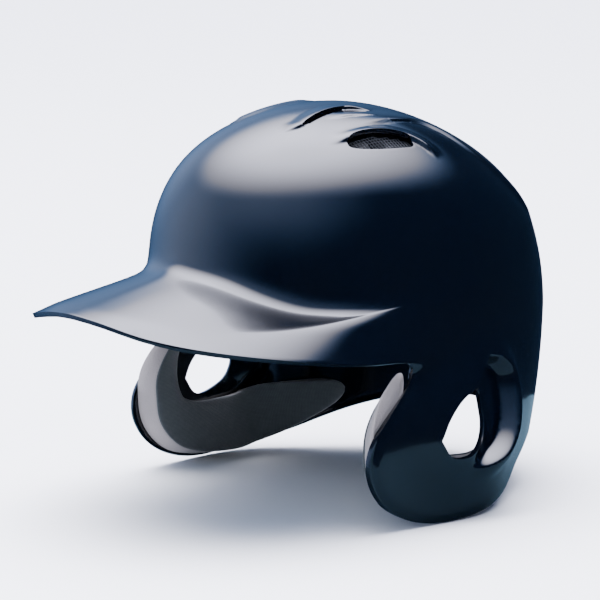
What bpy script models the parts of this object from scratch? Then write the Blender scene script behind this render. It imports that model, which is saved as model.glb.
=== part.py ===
"""Double-flap batting helmet: one gloss moulding with brim and ear flaps, foam liner, vents and pads.

Metres, +Z up.  The front is -Y, the wearer's left is +X, and the flaps stand on Z = 0.
"""
import math

import bmesh
import bpy
from mathutils import Vector
from mathutils.bvhtree import BVHTree

for old in list(bpy.data.objects):
    bpy.data.objects.remove(old, do_unlink=True)

# ---------------------------------------------------------------- driving dimensions
HALF_WIDTH = 0.100            # dome, outside, at its widest
FRONT_REACH = 0.118           # dome centre to forehead
REAR_REACH = 0.1185           # dome centre to nape
REAR_FULLNESS = 0.004         # pushes the widest section back
APEX_HEIGHT = 0.218
APEX_SHIFT = -0.014           # crown sits ahead of the middle
EQUATOR_HEIGHT = 0.117
EQUATOR_TILT = 0.010          # equator higher in front than behind
DOME_SHOULDER = 0.042         # fullness between crown and equator
REAR_SHOULDER = 0.020         # more of it behind, less in front
DOME_LEAN = 0.018             # fuller high in front and low behind

SHELL_WALL = 0.003
FIT_GAP = 0.0003              # clearance between touching pieces
FACET_GAP = 0.0007            # the same where two faceted curved faces meet
MESH_THICK = 0.0008
LINER_THICK = 0.011
HOOK_THICK = 0.0010
PAD_THICK = 0.006
EAR_FOAM_THICK = 0.0095
EAR_COVER_THICK = 0.0013

FLAP_LINE_CURVE = 0.25        # how far the flaps follow the dome's plan in front of the ear
FLAP_FLARE = 0.0085           # how far the flaps stand out from the dome's width
FLAP_FLARE_START = 0.020      # below the equator, and the height over which it grows
FLAP_FLARE_REACH = 0.055
NAPE_TUCK = 0.009
EAR_BULGE = 0.0085            # the flap swells over the ear
EAR_CENTRE = (0.002, 0.0545)   # Y, Z of the swelling
EAR_SPREAD = (0.060, 0.046, 0.050)   # its reach forward, backward and up or down
CREST_RISE = 0.005            # rolled crest behind the ear hole
CREST_WIDTH = 0.012

BROW_FILLET = 0.011
RIDGE_ROUND = 0.005
NOTCH_ANGLE = 70              # degrees from the front where the flap starts

COLUMNS = 36                  # half the shell, front to rear
DOME_ROWS = 11
BRIM_ROWS = 3
LEDGE_ROWS = 2
FLAP_ROWS = 11

DRAWN_HALF_WIDTH = 0.100      # dome half width and front reach for which the brim lines are drawn
DRAWN_FRONT_REACH = 0.118


def placed(line):
    """Fits a brim line to the dome's width and front reach; its overhang past the forehead stays."""
    wide, deep = HALF_WIDTH / DRAWN_HALF_WIDTH, FRONT_REACH / DRAWN_FRONT_REACH
    return [(angle, (x * wide, max(y, -DRAWN_FRONT_REACH) * deep + min(y + DRAWN_FRONT_REACH, 0.0), z))
            for angle, (x, y, z) in line]


# Brow height by angle from the front, in degrees.
BROW_HEIGHT = [(0, 0.1350), (20, 0.1300), (35, 0.1215), (46, 0.1170), (60, 0.1190), (81, 0.1280),
               (100, 0.1360), (112, 0.1420), (120, 0.1490), (131, 0.1580), (150, 0.1650), (180, 0.1670)]
# Upper crease of brim and side, by the same angle.
RIDGE = placed([(0, (0.000, -0.181, 0.1208)), (10, (0.022, -0.1785, 0.1197)), (20, (0.043, -0.170, 0.1163)),
                (30, (0.060, -0.154, 0.1128)), (40, (0.0715, -0.131, 0.1112)), (50, (0.081, -0.102, 0.1108)),
                (60, (0.090, -0.071, 0.1124)), (70, (0.0965, -0.042, 0.1156)), (81, (0.100, -0.013, 0.1198))])
# Behind the brim the crease runs on the dome: angle and height.
RIDGE_HEIGHT = [(81, 0.1198), (100, 0.1280), (112, 0.1340), (120, 0.1410), (131, 0.1496),
                (150, 0.1570), (180, 0.1590)]
RIDGE_RISE = 0.0012
# Brim lip, from the middle of the peak to where it fades into the side.
LIP = placed([(0, (0.000, -0.190, 0.1185)), (10, (0.024, -0.1875, 0.1165)), (20, (0.046, -0.180, 0.1115)),
              (30, (0.067, -0.167, 0.1074)), (40, (0.083, -0.146, 0.1032)), (50, (0.0935, -0.117, 0.0982)),
              (60, (0.100, -0.083, 0.0927)), (70, (0.1027, -0.047, 0.0904)), (78, (0.1024, -0.023, 0.0946)),
              (86, (0.1010, -0.004, 0.1020))])
LIP_HEIGHT = [(86, 0.1020), (95, 0.1065), (120, 0.1070), (180, 0.1070)]
# Flap outline seen from the side (Y, Z): front edge from the notch down, then the hem to the rear.
FLAP_FRONT = [(-0.0400, 0.0870), (-0.0390, 0.0830), (-0.0430, 0.0770), (-0.0530, 0.0670), (-0.0635, 0.0565),
              (-0.0702, 0.0470), (-0.0724, 0.0385), (-0.0710, 0.0290)]
HEM = [(-0.0710, 0.0290), (-0.0660, 0.0195), (-0.0570, 0.0110), (-0.0450, 0.0047), (-0.0320, 0.0008),
       (-0.0190, -0.0008), (-0.0040, 0.0012), (0.0080, 0.0028), (0.0220, 0.0055), (0.0390, 0.0102),
       (0.0580, 0.0178), (0.0800, 0.0250), (0.1020, 0.0310), (0.1170, 0.0338)]
# Ear hole seen from the side (Y, Z), clockwise.
EAR_HOLE = [(-0.0300, 0.0470), (-0.0245, 0.0575), (-0.0155, 0.0665), (-0.0040, 0.0720), (0.0015, 0.0700),
            (0.0028, 0.0605), (0.0030, 0.0510), (-0.0010, 0.0425), (-0.0110, 0.0365), (-0.0225, 0.0370)]
# Crest line behind the ear hole (Y, Z), top to bottom.
CREST = [(0.0160, 0.0865), (0.0250, 0.0820), (0.0290, 0.0715), (0.0275, 0.0585), (0.0225, 0.0460),
         (0.0140, 0.0365), (0.0020, 0.0295), (-0.0120, 0.0265)]

# Vents: name, centre (X, Y), heading in degrees from +Y towards +X, half length, half width.
VENTS = [("front_vent", (0.0245, -0.0370), -9, 0.0185, 0.0032),
         ("side_vent", (0.0550, -0.0240), 10, 0.0205, 0.0052),
         ("rear_vent", (0.0400, 0.0935), 60, 0.0130, 0.0035)]
MESH_OVERLAP = 0.0025

# Lower edge of the liner by angle from the front.
LINER_EDGE = [(0, 0.111), (40, 0.107), (60, 0.101), (80, 0.096), (100, 0.092), (130, 0.076), (180, 0.062)]

# Pads on the liner: name, angle from the front, half angle, height range; mirrored ones get a twin.
FOREHEAD_PAD = (0, 50, 0.121, 0.146)
TEMPLE_PAD = (90, 24, 0.0985, 0.1170)
NAPE_PAD = (180, 30, 0.068, 0.092)
CROWN_PAD_REACH = 0.26        # share of the way from crown to equator

# Ear pad: spine seen from the side (Y, Z) and its half width, from the top of the front limb.
EAR_PAD = [((-0.0465, 0.0845), 0.0040), ((-0.0525, 0.0755), 0.0066), ((-0.0572, 0.0660), 0.0085),
           ((-0.0592, 0.0555), 0.0092), ((-0.0592, 0.0430), 0.0100), ((-0.0550, 0.0310), 0.0120),
           ((-0.0440, 0.0218), 0.0138), ((-0.0300, 0.0176), 0.0142), ((-0.0150, 0.0162), 0.0145),
           ((0.0000, 0.0165), 0.0145), ((0.0150, 0.0195), 0.0145), ((0.0300, 0.0232), 0.0140),
           ((0.0480, 0.0290), 0.0120), ((0.0680, 0.0355), 0.0088)]
EAR_HOOKS = [((-0.0578, 0.0480), 0.0045, 0.0085), ((-0.0190, 0.0175), 0.0130, 0.0075),
             ((0.0330, 0.0240), 0.0100, 0.0060)]

# ---------------------------------------------------------------- collections and materials
helmet = bpy.data.collections.new("batting_helmet")
tools = bpy.data.collections.new("cutters")
bpy.context.scene.collection.children.link(helmet)
bpy.context.scene.collection.children.link(tools)


def make_material(name, colour, roughness, metallic=0.0):
    material = bpy.data.materials.new(name)
    material.use_nodes = True
    shader = material.node_tree.nodes["Principled BSDF"]
    shader.inputs["Base Color"].default_value = (*colour, 1.0)
    shader.inputs["Roughness"].default_value = roughness
    shader.inputs["Metallic"].default_value = metallic
    return material


NAVY = make_material("gloss_navy_abs", (0.006, 0.012, 0.030), 0.12)
EPP = make_material("liner_foam", (0.020, 0.021, 0.024), 0.85)
MESH = make_material("vent_mesh_nylon", (0.012, 0.013, 0.015), 0.60)
FOAM = make_material("grey_eva_foam", (0.560, 0.545, 0.535), 0.80)
FABRIC = make_material("grey_pad_fabric", (0.090, 0.105, 0.105), 0.92)
BLACK_FABRIC = make_material("black_pad_fabric", (0.018, 0.019, 0.022), 0.92)
HOOK = make_material("hook_tape", (0.014, 0.014, 0.015), 0.95)


# ---------------------------------------------------------------- small mathematics
def smooth(t):
    t = min(max(t, 0.0), 1.0)
    return t * t * (3.0 - 2.0 * t)


def through(knots, t):
    """Smooth curve through (parameter, value) knots; values are numbers or tuples."""
    values = [Vector(v) if isinstance(v, tuple) else Vector((v, 0.0)) for _, v in knots]
    marks = [k for k, _ in knots]
    t = min(max(t, marks[0]), marks[-1])
    i = max(j for j in range(len(marks) - 1) if marks[j] <= t)
    span = marks[i + 1] - marks[i]

    def slope(j):
        a, b = max(j - 1, 0), min(j + 1, len(marks) - 1)
        return (values[b] - values[a]) / (marks[b] - marks[a])

    s = (t - marks[i]) / span
    result = (values[i] * (2 * s ** 3 - 3 * s ** 2 + 1) + slope(i) * span * (s ** 3 - 2 * s ** 2 + s)
              + values[i + 1] * (3 * s ** 2 - 2 * s ** 3) + slope(i + 1) * span * (s ** 3 - s ** 2))
    return result if isinstance(knots[0][1], tuple) else result[0]


def resample(points, count):
    """The same polyline in count + 1 points an equal distance apart."""
    lengths = [0.0]
    for a, b in zip(points, points[1:]):
        lengths.append(lengths[-1] + (Vector(b) - Vector(a)).length)
    result = []
    for k in range(count + 1):
        goal = lengths[-1] * k / count
        i = min(max(j for j, at in enumerate(lengths) if at <= goal + 1e-12), len(points) - 2)
        share = (goal - lengths[i]) / (lengths[i + 1] - lengths[i])
        result.append(Vector(points[i]).lerp(Vector(points[i + 1]), share))
    return result


def smooth_line(points, count):
    """An even row of points on a smooth curve through hand-placed ones."""
    knots = list(enumerate(points))
    fine = [through(knots, k * (len(points) - 1) / 200) for k in range(201)]
    return resample(fine, count)


# ---------------------------------------------------------------- the head form
HALF_LENGTH = (FRONT_REACH + REAR_REACH) / 2
PLAN_CENTRE = (REAR_REACH - FRONT_REACH) / 2
WALL_SPAN = 0.160             # height below the equator that one unit of w covers
CREST_LINE = smooth_line(CREST, 60)


def equator(theta):
    return EQUATOR_HEIGHT + EQUATOR_TILT * math.cos(theta)


def dome_point(theta, phi):
    s, c = math.sin(phi), math.cos(phi)
    lean = DOME_LEAN * math.sin(4 * phi) * math.cos(theta)
    shoulder = (DOME_SHOULDER - REAR_SHOULDER * math.cos(theta)) * math.sin(2 * phi) ** 2
    reach = s * (1.0 + shoulder + lean)
    x = HALF_WIDTH * math.sin(theta) * reach
    y = (PLAN_CENTRE - HALF_LENGTH * math.cos(theta) + REAR_FULLNESS * math.sin(theta) ** 2 * s) * reach
    z = (EQUATOR_HEIGHT + EQUATOR_TILT * math.cos(theta) * s) * (1.0 - c) + APEX_HEIGHT * c
    return Vector((x, y + APEX_SHIFT * c, z))


def ear_bulge(y, z):
    dy = y - EAR_CENTRE[0]
    dz = z - EAR_CENTRE[1]
    rho = math.hypot(dy / (EAR_SPREAD[0] if dy < 0 else EAR_SPREAD[1]), dz / EAR_SPREAD[2])
    return EAR_BULGE * smooth((1.0 - rho) * 1.5)


def ear_crest(y, z):
    if abs(y) > 0.060 or z > 0.110:
        return 0.0
    spot = Vector((y, z))
    distance, index = min(((spot - p).length, i) for i, p in enumerate(CREST_LINE))
    along = index / (len(CREST_LINE) - 1)
    fade = smooth(along / 0.25) * smooth((1.0 - along) / 0.35)
    return CREST_RISE * fade * smooth(1.0 - distance / CREST_WIDTH)


def wall_point(theta, z, swelling):
    """Side wall below the equator; swelling 0 is plain, 1 adds the ear bulge, 2 also its crest."""
    depth = max(equator(theta) - z, 0.0)
    c = math.cos(theta)
    g = c
    if c > 0:
        straight = FLAP_LINE_CURVE * math.tanh(c / FLAP_LINE_CURVE)
        g += (straight - c) * smooth((depth - 0.012) / 0.015) * smooth((0.80 - c) / 0.18)
    side = math.copysign(math.sqrt(1.0 - g * g), math.sin(theta))
    x = HALF_WIDTH * side
    y = PLAN_CENTRE - HALF_LENGTH * c + REAR_FULLNESS * math.sin(theta) ** 2
    out = FLAP_FLARE * smooth((depth - FLAP_FLARE_START) / FLAP_FLARE_REACH) * smooth((c + 0.50) / 0.50)
    out -= NAPE_TUCK * (depth / 0.090) ** 2 * smooth((0.1 - c) / 0.9)
    if swelling > 0:
        out += ear_bulge(y, z)
    if swelling > 1:
        out += ear_crest(y, z)
    normal = Vector((side / HALF_WIDTH, -g / HALF_LENGTH)).normalized()
    return Vector((x + out * normal.x, y + out * normal.y, z))


def theta_at(y):
    """The angle from the front at which the wall's plan reaches this Y."""
    k = REAR_FULLNESS
    root = HALF_LENGTH ** 2 + 4 * k * (k + PLAN_CENTRE - y)
    c = (math.sqrt(root) - HALF_LENGTH) / (2 * k)
    return math.acos(min(max(c, -1.0), 1.0))


def form(theta, w, swelling=0):
    """Head form: w runs from 0 at the crown to 1 at the equator and on down the wall."""
    if w <= 1.0:
        return dome_point(theta, w * math.pi / 2)
    return wall_point(theta, equator(theta) - (w - 1.0) * WALL_SPAN, swelling)


def w_at(theta, z):
    if z <= equator(theta):
        return 1.0 + (equator(theta) - z) / WALL_SPAN
    low, high = 0.0, 1.0
    for _ in range(30):
        middle = (low + high) / 2
        if dome_point(theta, middle * math.pi / 2).z > z:
            low = middle
        else:
            high = middle
    return high


def form_inside(theta, w, depth, swelling=0):
    """A point at a depth below the head form, along its normal."""
    step = 0.004
    w = max(w, step)
    across = form(theta + step, w, swelling) - form(theta - step, w, swelling)
    down = form(theta, w + step, swelling) - form(theta, w - step, swelling)
    return form(theta, w, swelling) - down.cross(across).normalized() * depth


# ---------------------------------------------------------------- the shell's outer sheet
def brim_profile(degrees):
    """One column of the shell from the crown over brow, brim and crease to the lip."""
    theta = math.radians(degrees)
    brow_w = w_at(theta, through(BROW_HEIGHT, degrees))
    brow = form(theta, brow_w)
    if degrees <= RIDGE[-1][0]:
        ridge = through(RIDGE, degrees)
    else:
        ridge = form_inside(theta, w_at(theta, through(RIDGE_HEIGHT, degrees)),
                            -RIDGE_RISE * smooth((150 - degrees) / 40))
    if degrees <= LIP[-1][0]:
        lip = through(LIP, degrees)
    else:
        lip = wall_point(theta, through(LIP_HEIGHT, degrees), 2)
    follow = smooth((degrees - 74) / 14)

    def between(start, end, t):
        z = start.z + (end.z - start.z) * t
        bent = form(theta, w_at(theta, z))
        start_off = start - form(theta, w_at(theta, start.z))
        end_off = end - form(theta, w_at(theta, end.z))
        return start.lerp(end, t).lerp(bent + start_off.lerp(end_off, t), follow)

    def bend(a, b, c, t):
        return a.lerp(b, t).lerp(b.lerp(c, t), t)

    top_length = (ridge - brow).length
    side_length = (lip - ridge).length
    fillet = min(BROW_FILLET, 0.45 * top_length)
    round_top = min(RIDGE_ROUND, 0.40 * top_length) / top_length
    round_side = min(RIDGE_ROUND, 0.40 * side_length) / side_length
    start_w = brow_w - fillet / ((APEX_HEIGHT - EQUATOR_HEIGHT) * math.pi / 2)
    column = [form(theta, start_w * k / DOME_ROWS) for k in range(DOME_ROWS + 1)]
    foot = between(brow, ridge, fillet / top_length)
    column += [bend(column[-1], brow, foot, t) for t in (0.25, 0.5, 0.75, 1.0)]
    reach = 1.0 - round_top - fillet / top_length
    column += [between(brow, ridge, fillet / top_length + reach * k / BRIM_ROWS)
               for k in range(1, BRIM_ROWS + 1)]
    after = between(ridge, lip, round_side)
    column += [bend(column[-1], ridge, after, t) for t in (0.5, 1.0)]
    column += [between(ridge, lip, round_side + (1.0 - round_side) * k / LEDGE_ROWS)
               for k in range(1, LEDGE_ROWS + 1)]
    return column


def shell_points():
    """Rows of points by column: the brim's for all, the flap's from the notch to the rear."""
    columns = [brim_profile(180.0 * i / COLUMNS) for i in range(COLUMNS + 1)]
    notch = round(NOTCH_ANGLE * COLUMNS / 180)
    lips = [column[-1] for column in columns[notch:]]
    top = [Vector((theta_at(lip.y), lip.z)) for lip in lips]
    top[-1].x = math.pi
    scale = HALF_WIDTH

    def flat(points):
        return [(theta_at(y) * scale, z) for y, z in points]

    start = (top[0].x * scale, top[0].y)
    front = smooth_line([start] + flat(FLAP_FRONT), FLAP_ROWS)
    hem_end = (math.pi * scale, HEM[-1][1])
    hem = smooth_line(flat(HEM) + [hem_end], len(top) - 1)
    for j, column in enumerate(columns[notch:]):
        a = j / (len(top) - 1)
        for k in range(1, FLAP_ROWS + 1):
            b = k / FLAP_ROWS
            up, down = Vector((top[j].x * scale, top[j].y)), hem[j]
            left, right = front[k], Vector((math.pi * scale, top[-1].y)).lerp(hem[-1], b)
            corner_top = Vector((top[0].x * scale, top[0].y)).lerp(Vector((math.pi * scale, top[-1].y)), a)
            corner_low = front[-1].lerp(hem[-1], a)
            spot = up.lerp(down, b) + left.lerp(right, a) - corner_top.lerp(corner_low, b)
            point = wall_point(min(spot.x / scale, math.pi), spot.y, 2)
            overhang = lips[j] - wall_point(top[j].x, top[j].y, 2)
            column.append(point + overhang * smooth(1.0 - (top[j].y - spot.y) / 0.008))
    return columns, notch


# ---------------------------------------------------------------- making objects
def place(thing, collection):
    for other in list(thing.users_collection):
        other.objects.unlink(thing)
    collection.objects.link(thing)


def sheet(name, across, down, where, material, keep=None):
    """A primitive grid whose points are moved by where(column, row); keep says which stay."""
    bpy.ops.mesh.primitive_grid_add(x_subdivisions=across, y_subdivisions=down, size=1.0)
    thing = bpy.context.object
    thing.name = name
    thing.data.name = name
    place(thing, helmet)
    thing.data.materials.append(material)
    mesh = bmesh.new()
    mesh.from_mesh(thing.data)
    lost = []
    for vert in mesh.verts:
        column = round((vert.co.x + 0.5) * across)
        row = round((vert.co.y + 0.5) * down)
        if keep and not keep(column, row):
            lost.append(vert)
        else:
            vert.co = where(column, row)
    bmesh.ops.delete(mesh, geom=lost, context="VERTS")
    bmesh.ops.remove_doubles(mesh, verts=mesh.verts, dist=0.00002)
    mesh.to_mesh(thing.data)
    mesh.free()
    return thing


def face_outward(thing, outward):
    """Turns a whole sheet over if its faces look against the outward directions."""
    mesh = bmesh.new()
    mesh.from_mesh(thing.data)
    bmesh.ops.recalc_face_normals(mesh, faces=mesh.faces)
    total = sum(face.normal.dot(outward(face.calc_center_median())) for face in mesh.faces)
    if total < 0:
        bmesh.ops.reverse_faces(mesh, faces=mesh.faces)
    mesh.to_mesh(thing.data)
    mesh.free()


def away_from_head(point):
    return point - Vector((0.0, 0.0, 0.100))


def thicken(thing, thickness):
    solid = thing.modifiers.new("wall", "SOLIDIFY")
    solid.thickness = thickness
    solid.offset = -1.0
    solid.use_even_offset = True


def mirror(thing):
    twin = thing.modifiers.new("other_half", "MIRROR")
    twin.merge_threshold = 0.00005


def cut(thing, cutter):
    boolean = thing.modifiers.new("cut_" + cutter.name, "BOOLEAN")
    boolean.operation = "DIFFERENCE"
    boolean.solver = "EXACT"
    boolean.object = cutter


def keep_as_cutter(thing):
    place(thing, tools)
    thing.hide_render = True
    thing.display_type = "WIRE"
    return thing


def outline_prism(name, points, half_depth):
    """A closed outline in Y and Z pushed both ways along X, for cutting."""
    curve = bpy.data.curves.new(name, "CURVE")
    curve.dimensions = "2D"
    curve.fill_mode = "BOTH"
    curve.extrude = half_depth
    spline = curve.splines.new("POLY")
    spline.points.add(len(points) - 1)
    for knot, (y, z) in zip(spline.points, points):
        knot.co = (y, z, 0.0, 1.0)
    spline.use_cyclic_u = True
    drawn = bpy.data.objects.new(name + "_curve", curve)
    bpy.context.scene.collection.objects.link(drawn)
    drawn.rotation_euler = (math.radians(90), 0.0, math.radians(90))
    bpy.context.view_layer.update()
    shape = bpy.data.meshes.new_from_object(drawn.evaluated_get(bpy.context.evaluated_depsgraph_get()))
    mesh = bmesh.new()
    mesh.from_mesh(shape)
    bmesh.ops.remove_doubles(mesh, verts=mesh.verts, dist=0.00001)
    bmesh.ops.recalc_face_normals(mesh, faces=mesh.faces)
    mesh.to_mesh(shape)
    mesh.free()
    prism = bpy.data.objects.new(name, shape)
    bpy.context.scene.collection.objects.link(prism)
    prism.matrix_world = drawn.matrix_world.copy()
    bpy.data.objects.remove(drawn, do_unlink=True)
    return keep_as_cutter(prism)


# ---------------------------------------------------------------- shell
SHELL_COLUMNS, NOTCH_COLUMN = shell_points()
BRIM_POINTS = len(SHELL_COLUMNS[0])
SHELL_ROWS = len(SHELL_COLUMNS[-1])


def on_centre(point, column, last):
    """Columns on the mirror plane lie exactly on it."""
    if column in (0, last):
        point = point.copy()
        point.x = 0.0
    return point


shell = sheet("outer_shell", COLUMNS, SHELL_ROWS - 1,
              lambda i, j: on_centre(SHELL_COLUMNS[i][j], i, COLUMNS), NAVY,
              keep=lambda i, j: j < BRIM_POINTS or i >= NOTCH_COLUMN)
face_outward(shell, away_from_head)
skin = bmesh.new()
skin.from_mesh(shell.data)
SKIN = BVHTree.FromBMesh(skin)
skin.free()
mirror(shell)
thicken(shell, SHELL_WALL)

hole_line = smooth_line(EAR_HOLE + EAR_HOLE[:1], 28)[:-1]
cut(shell, outline_prism("ear_hole_cutter", hole_line, HALF_WIDTH * 1.6))

bpy.ops.mesh.primitive_cube_add(size=1.0, location=(0.0, 0.0, -0.010))
ground = bpy.context.object
ground.name = "foot_cutter"
ground.scale = (HALF_WIDTH * 4, HALF_LENGTH * 4, 0.020)
cut(shell, keep_as_cutter(ground))


# ---------------------------------------------------------------- vents
def vent_frame(centre, heading):
    """Where a vent's middle lies on the shell, with its length, width and outward directions."""
    spot, normal, _, _ = SKIN.ray_cast(Vector((centre[0], centre[1], 0.300)), Vector((0.0, 0.0, -1.0)))
    turn = math.radians(heading)
    along = Vector((math.sin(turn), math.cos(turn), 0.0))
    along = (along - normal * along.dot(normal)).normalized()
    return spot, along, normal.cross(along), normal


def vent_cutter(name, frame, half_length, half_width, above, below):
    spot, along, aside, normal = frame
    bpy.ops.mesh.primitive_cylinder_add(vertices=24, radius=1.0, depth=1.0)
    cutter = bpy.context.object
    cutter.name = name
    height = above + below
    middle = spot + normal * (above - below) / 2
    for vert in cutter.data.vertices:
        x, y, z = vert.co
        vert.co = middle + along * (x * half_length) + aside * (y * half_width) + normal * (z * height)
    mesh = bmesh.new()
    mesh.from_mesh(cutter.data)
    bmesh.ops.recalc_face_normals(mesh, faces=mesh.faces)
    mesh.to_mesh(cutter.data)
    mesh.free()
    return keep_as_cutter(cutter)


def mirrored(thing, name, material):
    """The same mesh on the other side, as an object of its own."""
    twin = thing.copy()
    twin.data = thing.data.copy()
    twin.name = name
    twin.data.name = name
    thing.users_collection[0].objects.link(twin)
    mesh = bmesh.new()
    mesh.from_mesh(twin.data)
    for vert in mesh.verts:
        vert.co.x = -vert.co.x
    bmesh.ops.reverse_faces(mesh, faces=mesh.faces)
    mesh.to_mesh(twin.data)
    mesh.free()
    return twin


def vent_mesh(name, frame, half_length, half_width):
    """Thin curved plate under a vent, a little larger than its opening."""
    spot, along, aside, normal = frame
    depth = SHELL_WALL + FACET_GAP
    long_half = half_length + MESH_OVERLAP
    wide_half = half_width + MESH_OVERLAP

    def where(i, j):
        a, b = 2.0 * i / 12 - 1.0, 2.0 * j / 6 - 1.0
        u = a * math.sqrt(1.0 - b * b / 2) * long_half
        v = b * math.sqrt(1.0 - a * a / 2) * wide_half
        above = spot + along * u + aside * v + normal * 0.030
        hit = SKIN.ray_cast(above, -normal)[0]
        return hit - normal * depth

    plate = sheet(name, 12, 6, where, MESH)
    face_outward(plate, lambda point: normal)
    thicken(plate, MESH_THICK)
    return plate


VENT_FRAMES = []
for vent_name, vent_centre, vent_heading, vent_long, vent_wide in VENTS:
    frame = vent_frame(vent_centre, vent_heading)
    VENT_FRAMES.append((vent_name, frame, vent_long, vent_wide))
    opening = vent_cutter(vent_name + "_opening_left", frame, vent_long, vent_wide, 0.010, 0.012)
    cut(shell, opening)
    cut(shell, mirrored(opening, vent_name + "_opening_right", None))
    plate = vent_mesh(vent_name + "_mesh_left", frame, vent_long, vent_wide)
    mirrored(plate, vent_name + "_mesh_right", MESH)

# ---------------------------------------------------------------- impact liner
LINER_DEPTH = SHELL_WALL + MESH_THICK + 2 * FACET_GAP
LINER_COLUMNS, LINER_ROWS = 26, 13


def liner_point(i, j):
    theta = math.pi * i / LINER_COLUMNS
    edge = w_at(theta, through(LINER_EDGE, math.degrees(theta)))
    return on_centre(form_inside(theta, edge * j / LINER_ROWS, LINER_DEPTH), i, LINER_COLUMNS)


liner = sheet("impact_liner", LINER_COLUMNS, LINER_ROWS, liner_point, EPP)
crown = bmesh.new()
crown.from_mesh(liner.data)
bmesh.ops.remove_doubles(crown, verts=[v for v in crown.verts if math.hypot(v.co.x, v.co.y - APEX_SHIFT) < 0.002],
                         dist=0.003)
for vert in crown.verts:
    if math.hypot(vert.co.x, vert.co.y - APEX_SHIFT) < 0.002:
        vert.co.x = 0.0
crown.to_mesh(liner.data)
crown.free()
face_outward(liner, away_from_head)
mirror(liner)
thicken(liner, LINER_THICK)
for vent_name, frame, vent_long, vent_wide in VENT_FRAMES:
    passage = vent_cutter(vent_name + "_passage_left", frame, vent_long * 0.8, vent_wide * 0.9, 0.010, 0.030)
    cut(liner, passage)
    cut(liner, mirrored(passage, vent_name + "_passage_right", None))


# ---------------------------------------------------------------- pads on the liner
HOOK_DEPTH = LINER_DEPTH + LINER_THICK + FACET_GAP
PAD_DEPTH = HOOK_DEPTH + HOOK_THICK + FACET_GAP


def rounded(i, j, across, down, softness=0.55):
    """Turns a grid square into a rounded one."""
    a, b = 2.0 * i / across - 1.0, 2.0 * j / down - 1.0
    return a * math.sqrt(1.0 - softness * b * b / 1.1), b * math.sqrt(1.0 - softness * a * a / 8.0)


def liner_patch(name, area, depth, thickness, material, across, down):
    """A rounded patch that follows the liner: area is angle, half angle, lowest and highest Z."""
    middle, half, low, high = area

    def where(i, j):
        a, b = rounded(i, j, across, down)
        theta = math.radians(middle + half * a)
        top, foot = w_at(abs(theta), high), w_at(abs(theta), low)
        point = form_inside(abs(theta), (top + foot) / 2 + (foot - top) / 2 * b, depth)
        point.x = math.copysign(point.x, theta) if theta else 0.0
        if theta > math.pi:
            turned = 2 * math.pi - theta
            point = form_inside(turned, (w_at(turned, high) + w_at(turned, low)) / 2
                                + (w_at(turned, low) - w_at(turned, high)) / 2 * b, depth)
            point.x = -point.x
        return point

    patch = sheet(name, across, down, where, material)
    face_outward(patch, away_from_head)
    thicken(patch, thickness)
    return patch


def crown_patch(name, reach, depth, thickness, material, count):
    def where(i, j):
        a, b = 2.0 * i / count - 1.0, 2.0 * j / count - 1.0
        u, v = a * math.sqrt(1.0 - b * b / 2), b * math.sqrt(1.0 - a * a / 2)
        theta = math.atan2(u, -v)
        point = form_inside(abs(theta), math.hypot(u, v) * reach, depth)
        point.x = math.copysign(point.x, theta) if abs(u) > 1e-9 else 0.0
        return point

    patch = sheet(name, count, count, where, material)
    face_outward(patch, away_from_head)
    thicken(patch, thickness)
    return patch


def hook_area(area, middle, half, share):
    """A smaller area inside a pad's, for its hook tape."""
    centre, spread = (area[2] + area[3]) / 2, (area[3] - area[2]) / 2 * share
    return middle, half, centre - spread, centre + spread


liner_patch("forehead_pad", FOREHEAD_PAD, PAD_DEPTH, PAD_THICK, BLACK_FABRIC, 20, 4)
for index, angle in enumerate((-30, 0, 30)):
    liner_patch(f"forehead_hook_{index + 1}", hook_area(FOREHEAD_PAD, angle, 8, 0.6), HOOK_DEPTH, HOOK_THICK,
                HOOK, 4, 2)
temple = liner_patch("temple_pad_left", TEMPLE_PAD, PAD_DEPTH, PAD_THICK, BLACK_FABRIC, 10, 4)
mirrored(temple, "temple_pad_right", BLACK_FABRIC)
temple_hook = liner_patch("temple_hook_left", hook_area(TEMPLE_PAD, TEMPLE_PAD[0], 12, 0.6), HOOK_DEPTH,
                          HOOK_THICK, HOOK, 5, 2)
mirrored(temple_hook, "temple_hook_right", HOOK)
liner_patch("nape_pad", NAPE_PAD, PAD_DEPTH, PAD_THICK, BLACK_FABRIC, 12, 4)
for index, angle in enumerate((168, 192)):
    liner_patch(f"nape_hook_{index + 1}", hook_area(NAPE_PAD, angle, 7, 0.6), HOOK_DEPTH, HOOK_THICK, HOOK, 4, 2)
crown_patch("crown_pad", CROWN_PAD_REACH, PAD_DEPTH, PAD_THICK, BLACK_FABRIC, 10)
crown_patch("crown_hook", CROWN_PAD_REACH * 0.4, HOOK_DEPTH, HOOK_THICK, HOOK, 6)

# ---------------------------------------------------------------- ear pads
EAR_HOOK_DEPTH = SHELL_WALL + FACET_GAP
EAR_FOAM_DEPTH = EAR_HOOK_DEPTH + HOOK_THICK + FACET_GAP
EAR_COVER_DEPTH = EAR_FOAM_DEPTH + EAR_FOAM_THICK + FIT_GAP
EAR_SPINE = list(enumerate(spot for spot, _ in EAR_PAD))
EAR_WIDTH = list(enumerate(width for _, width in EAR_PAD))


def flap_inside(y, z, depth):
    theta = theta_at(y)
    return form_inside(theta, w_at(theta, z), depth, swelling=1)


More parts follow.
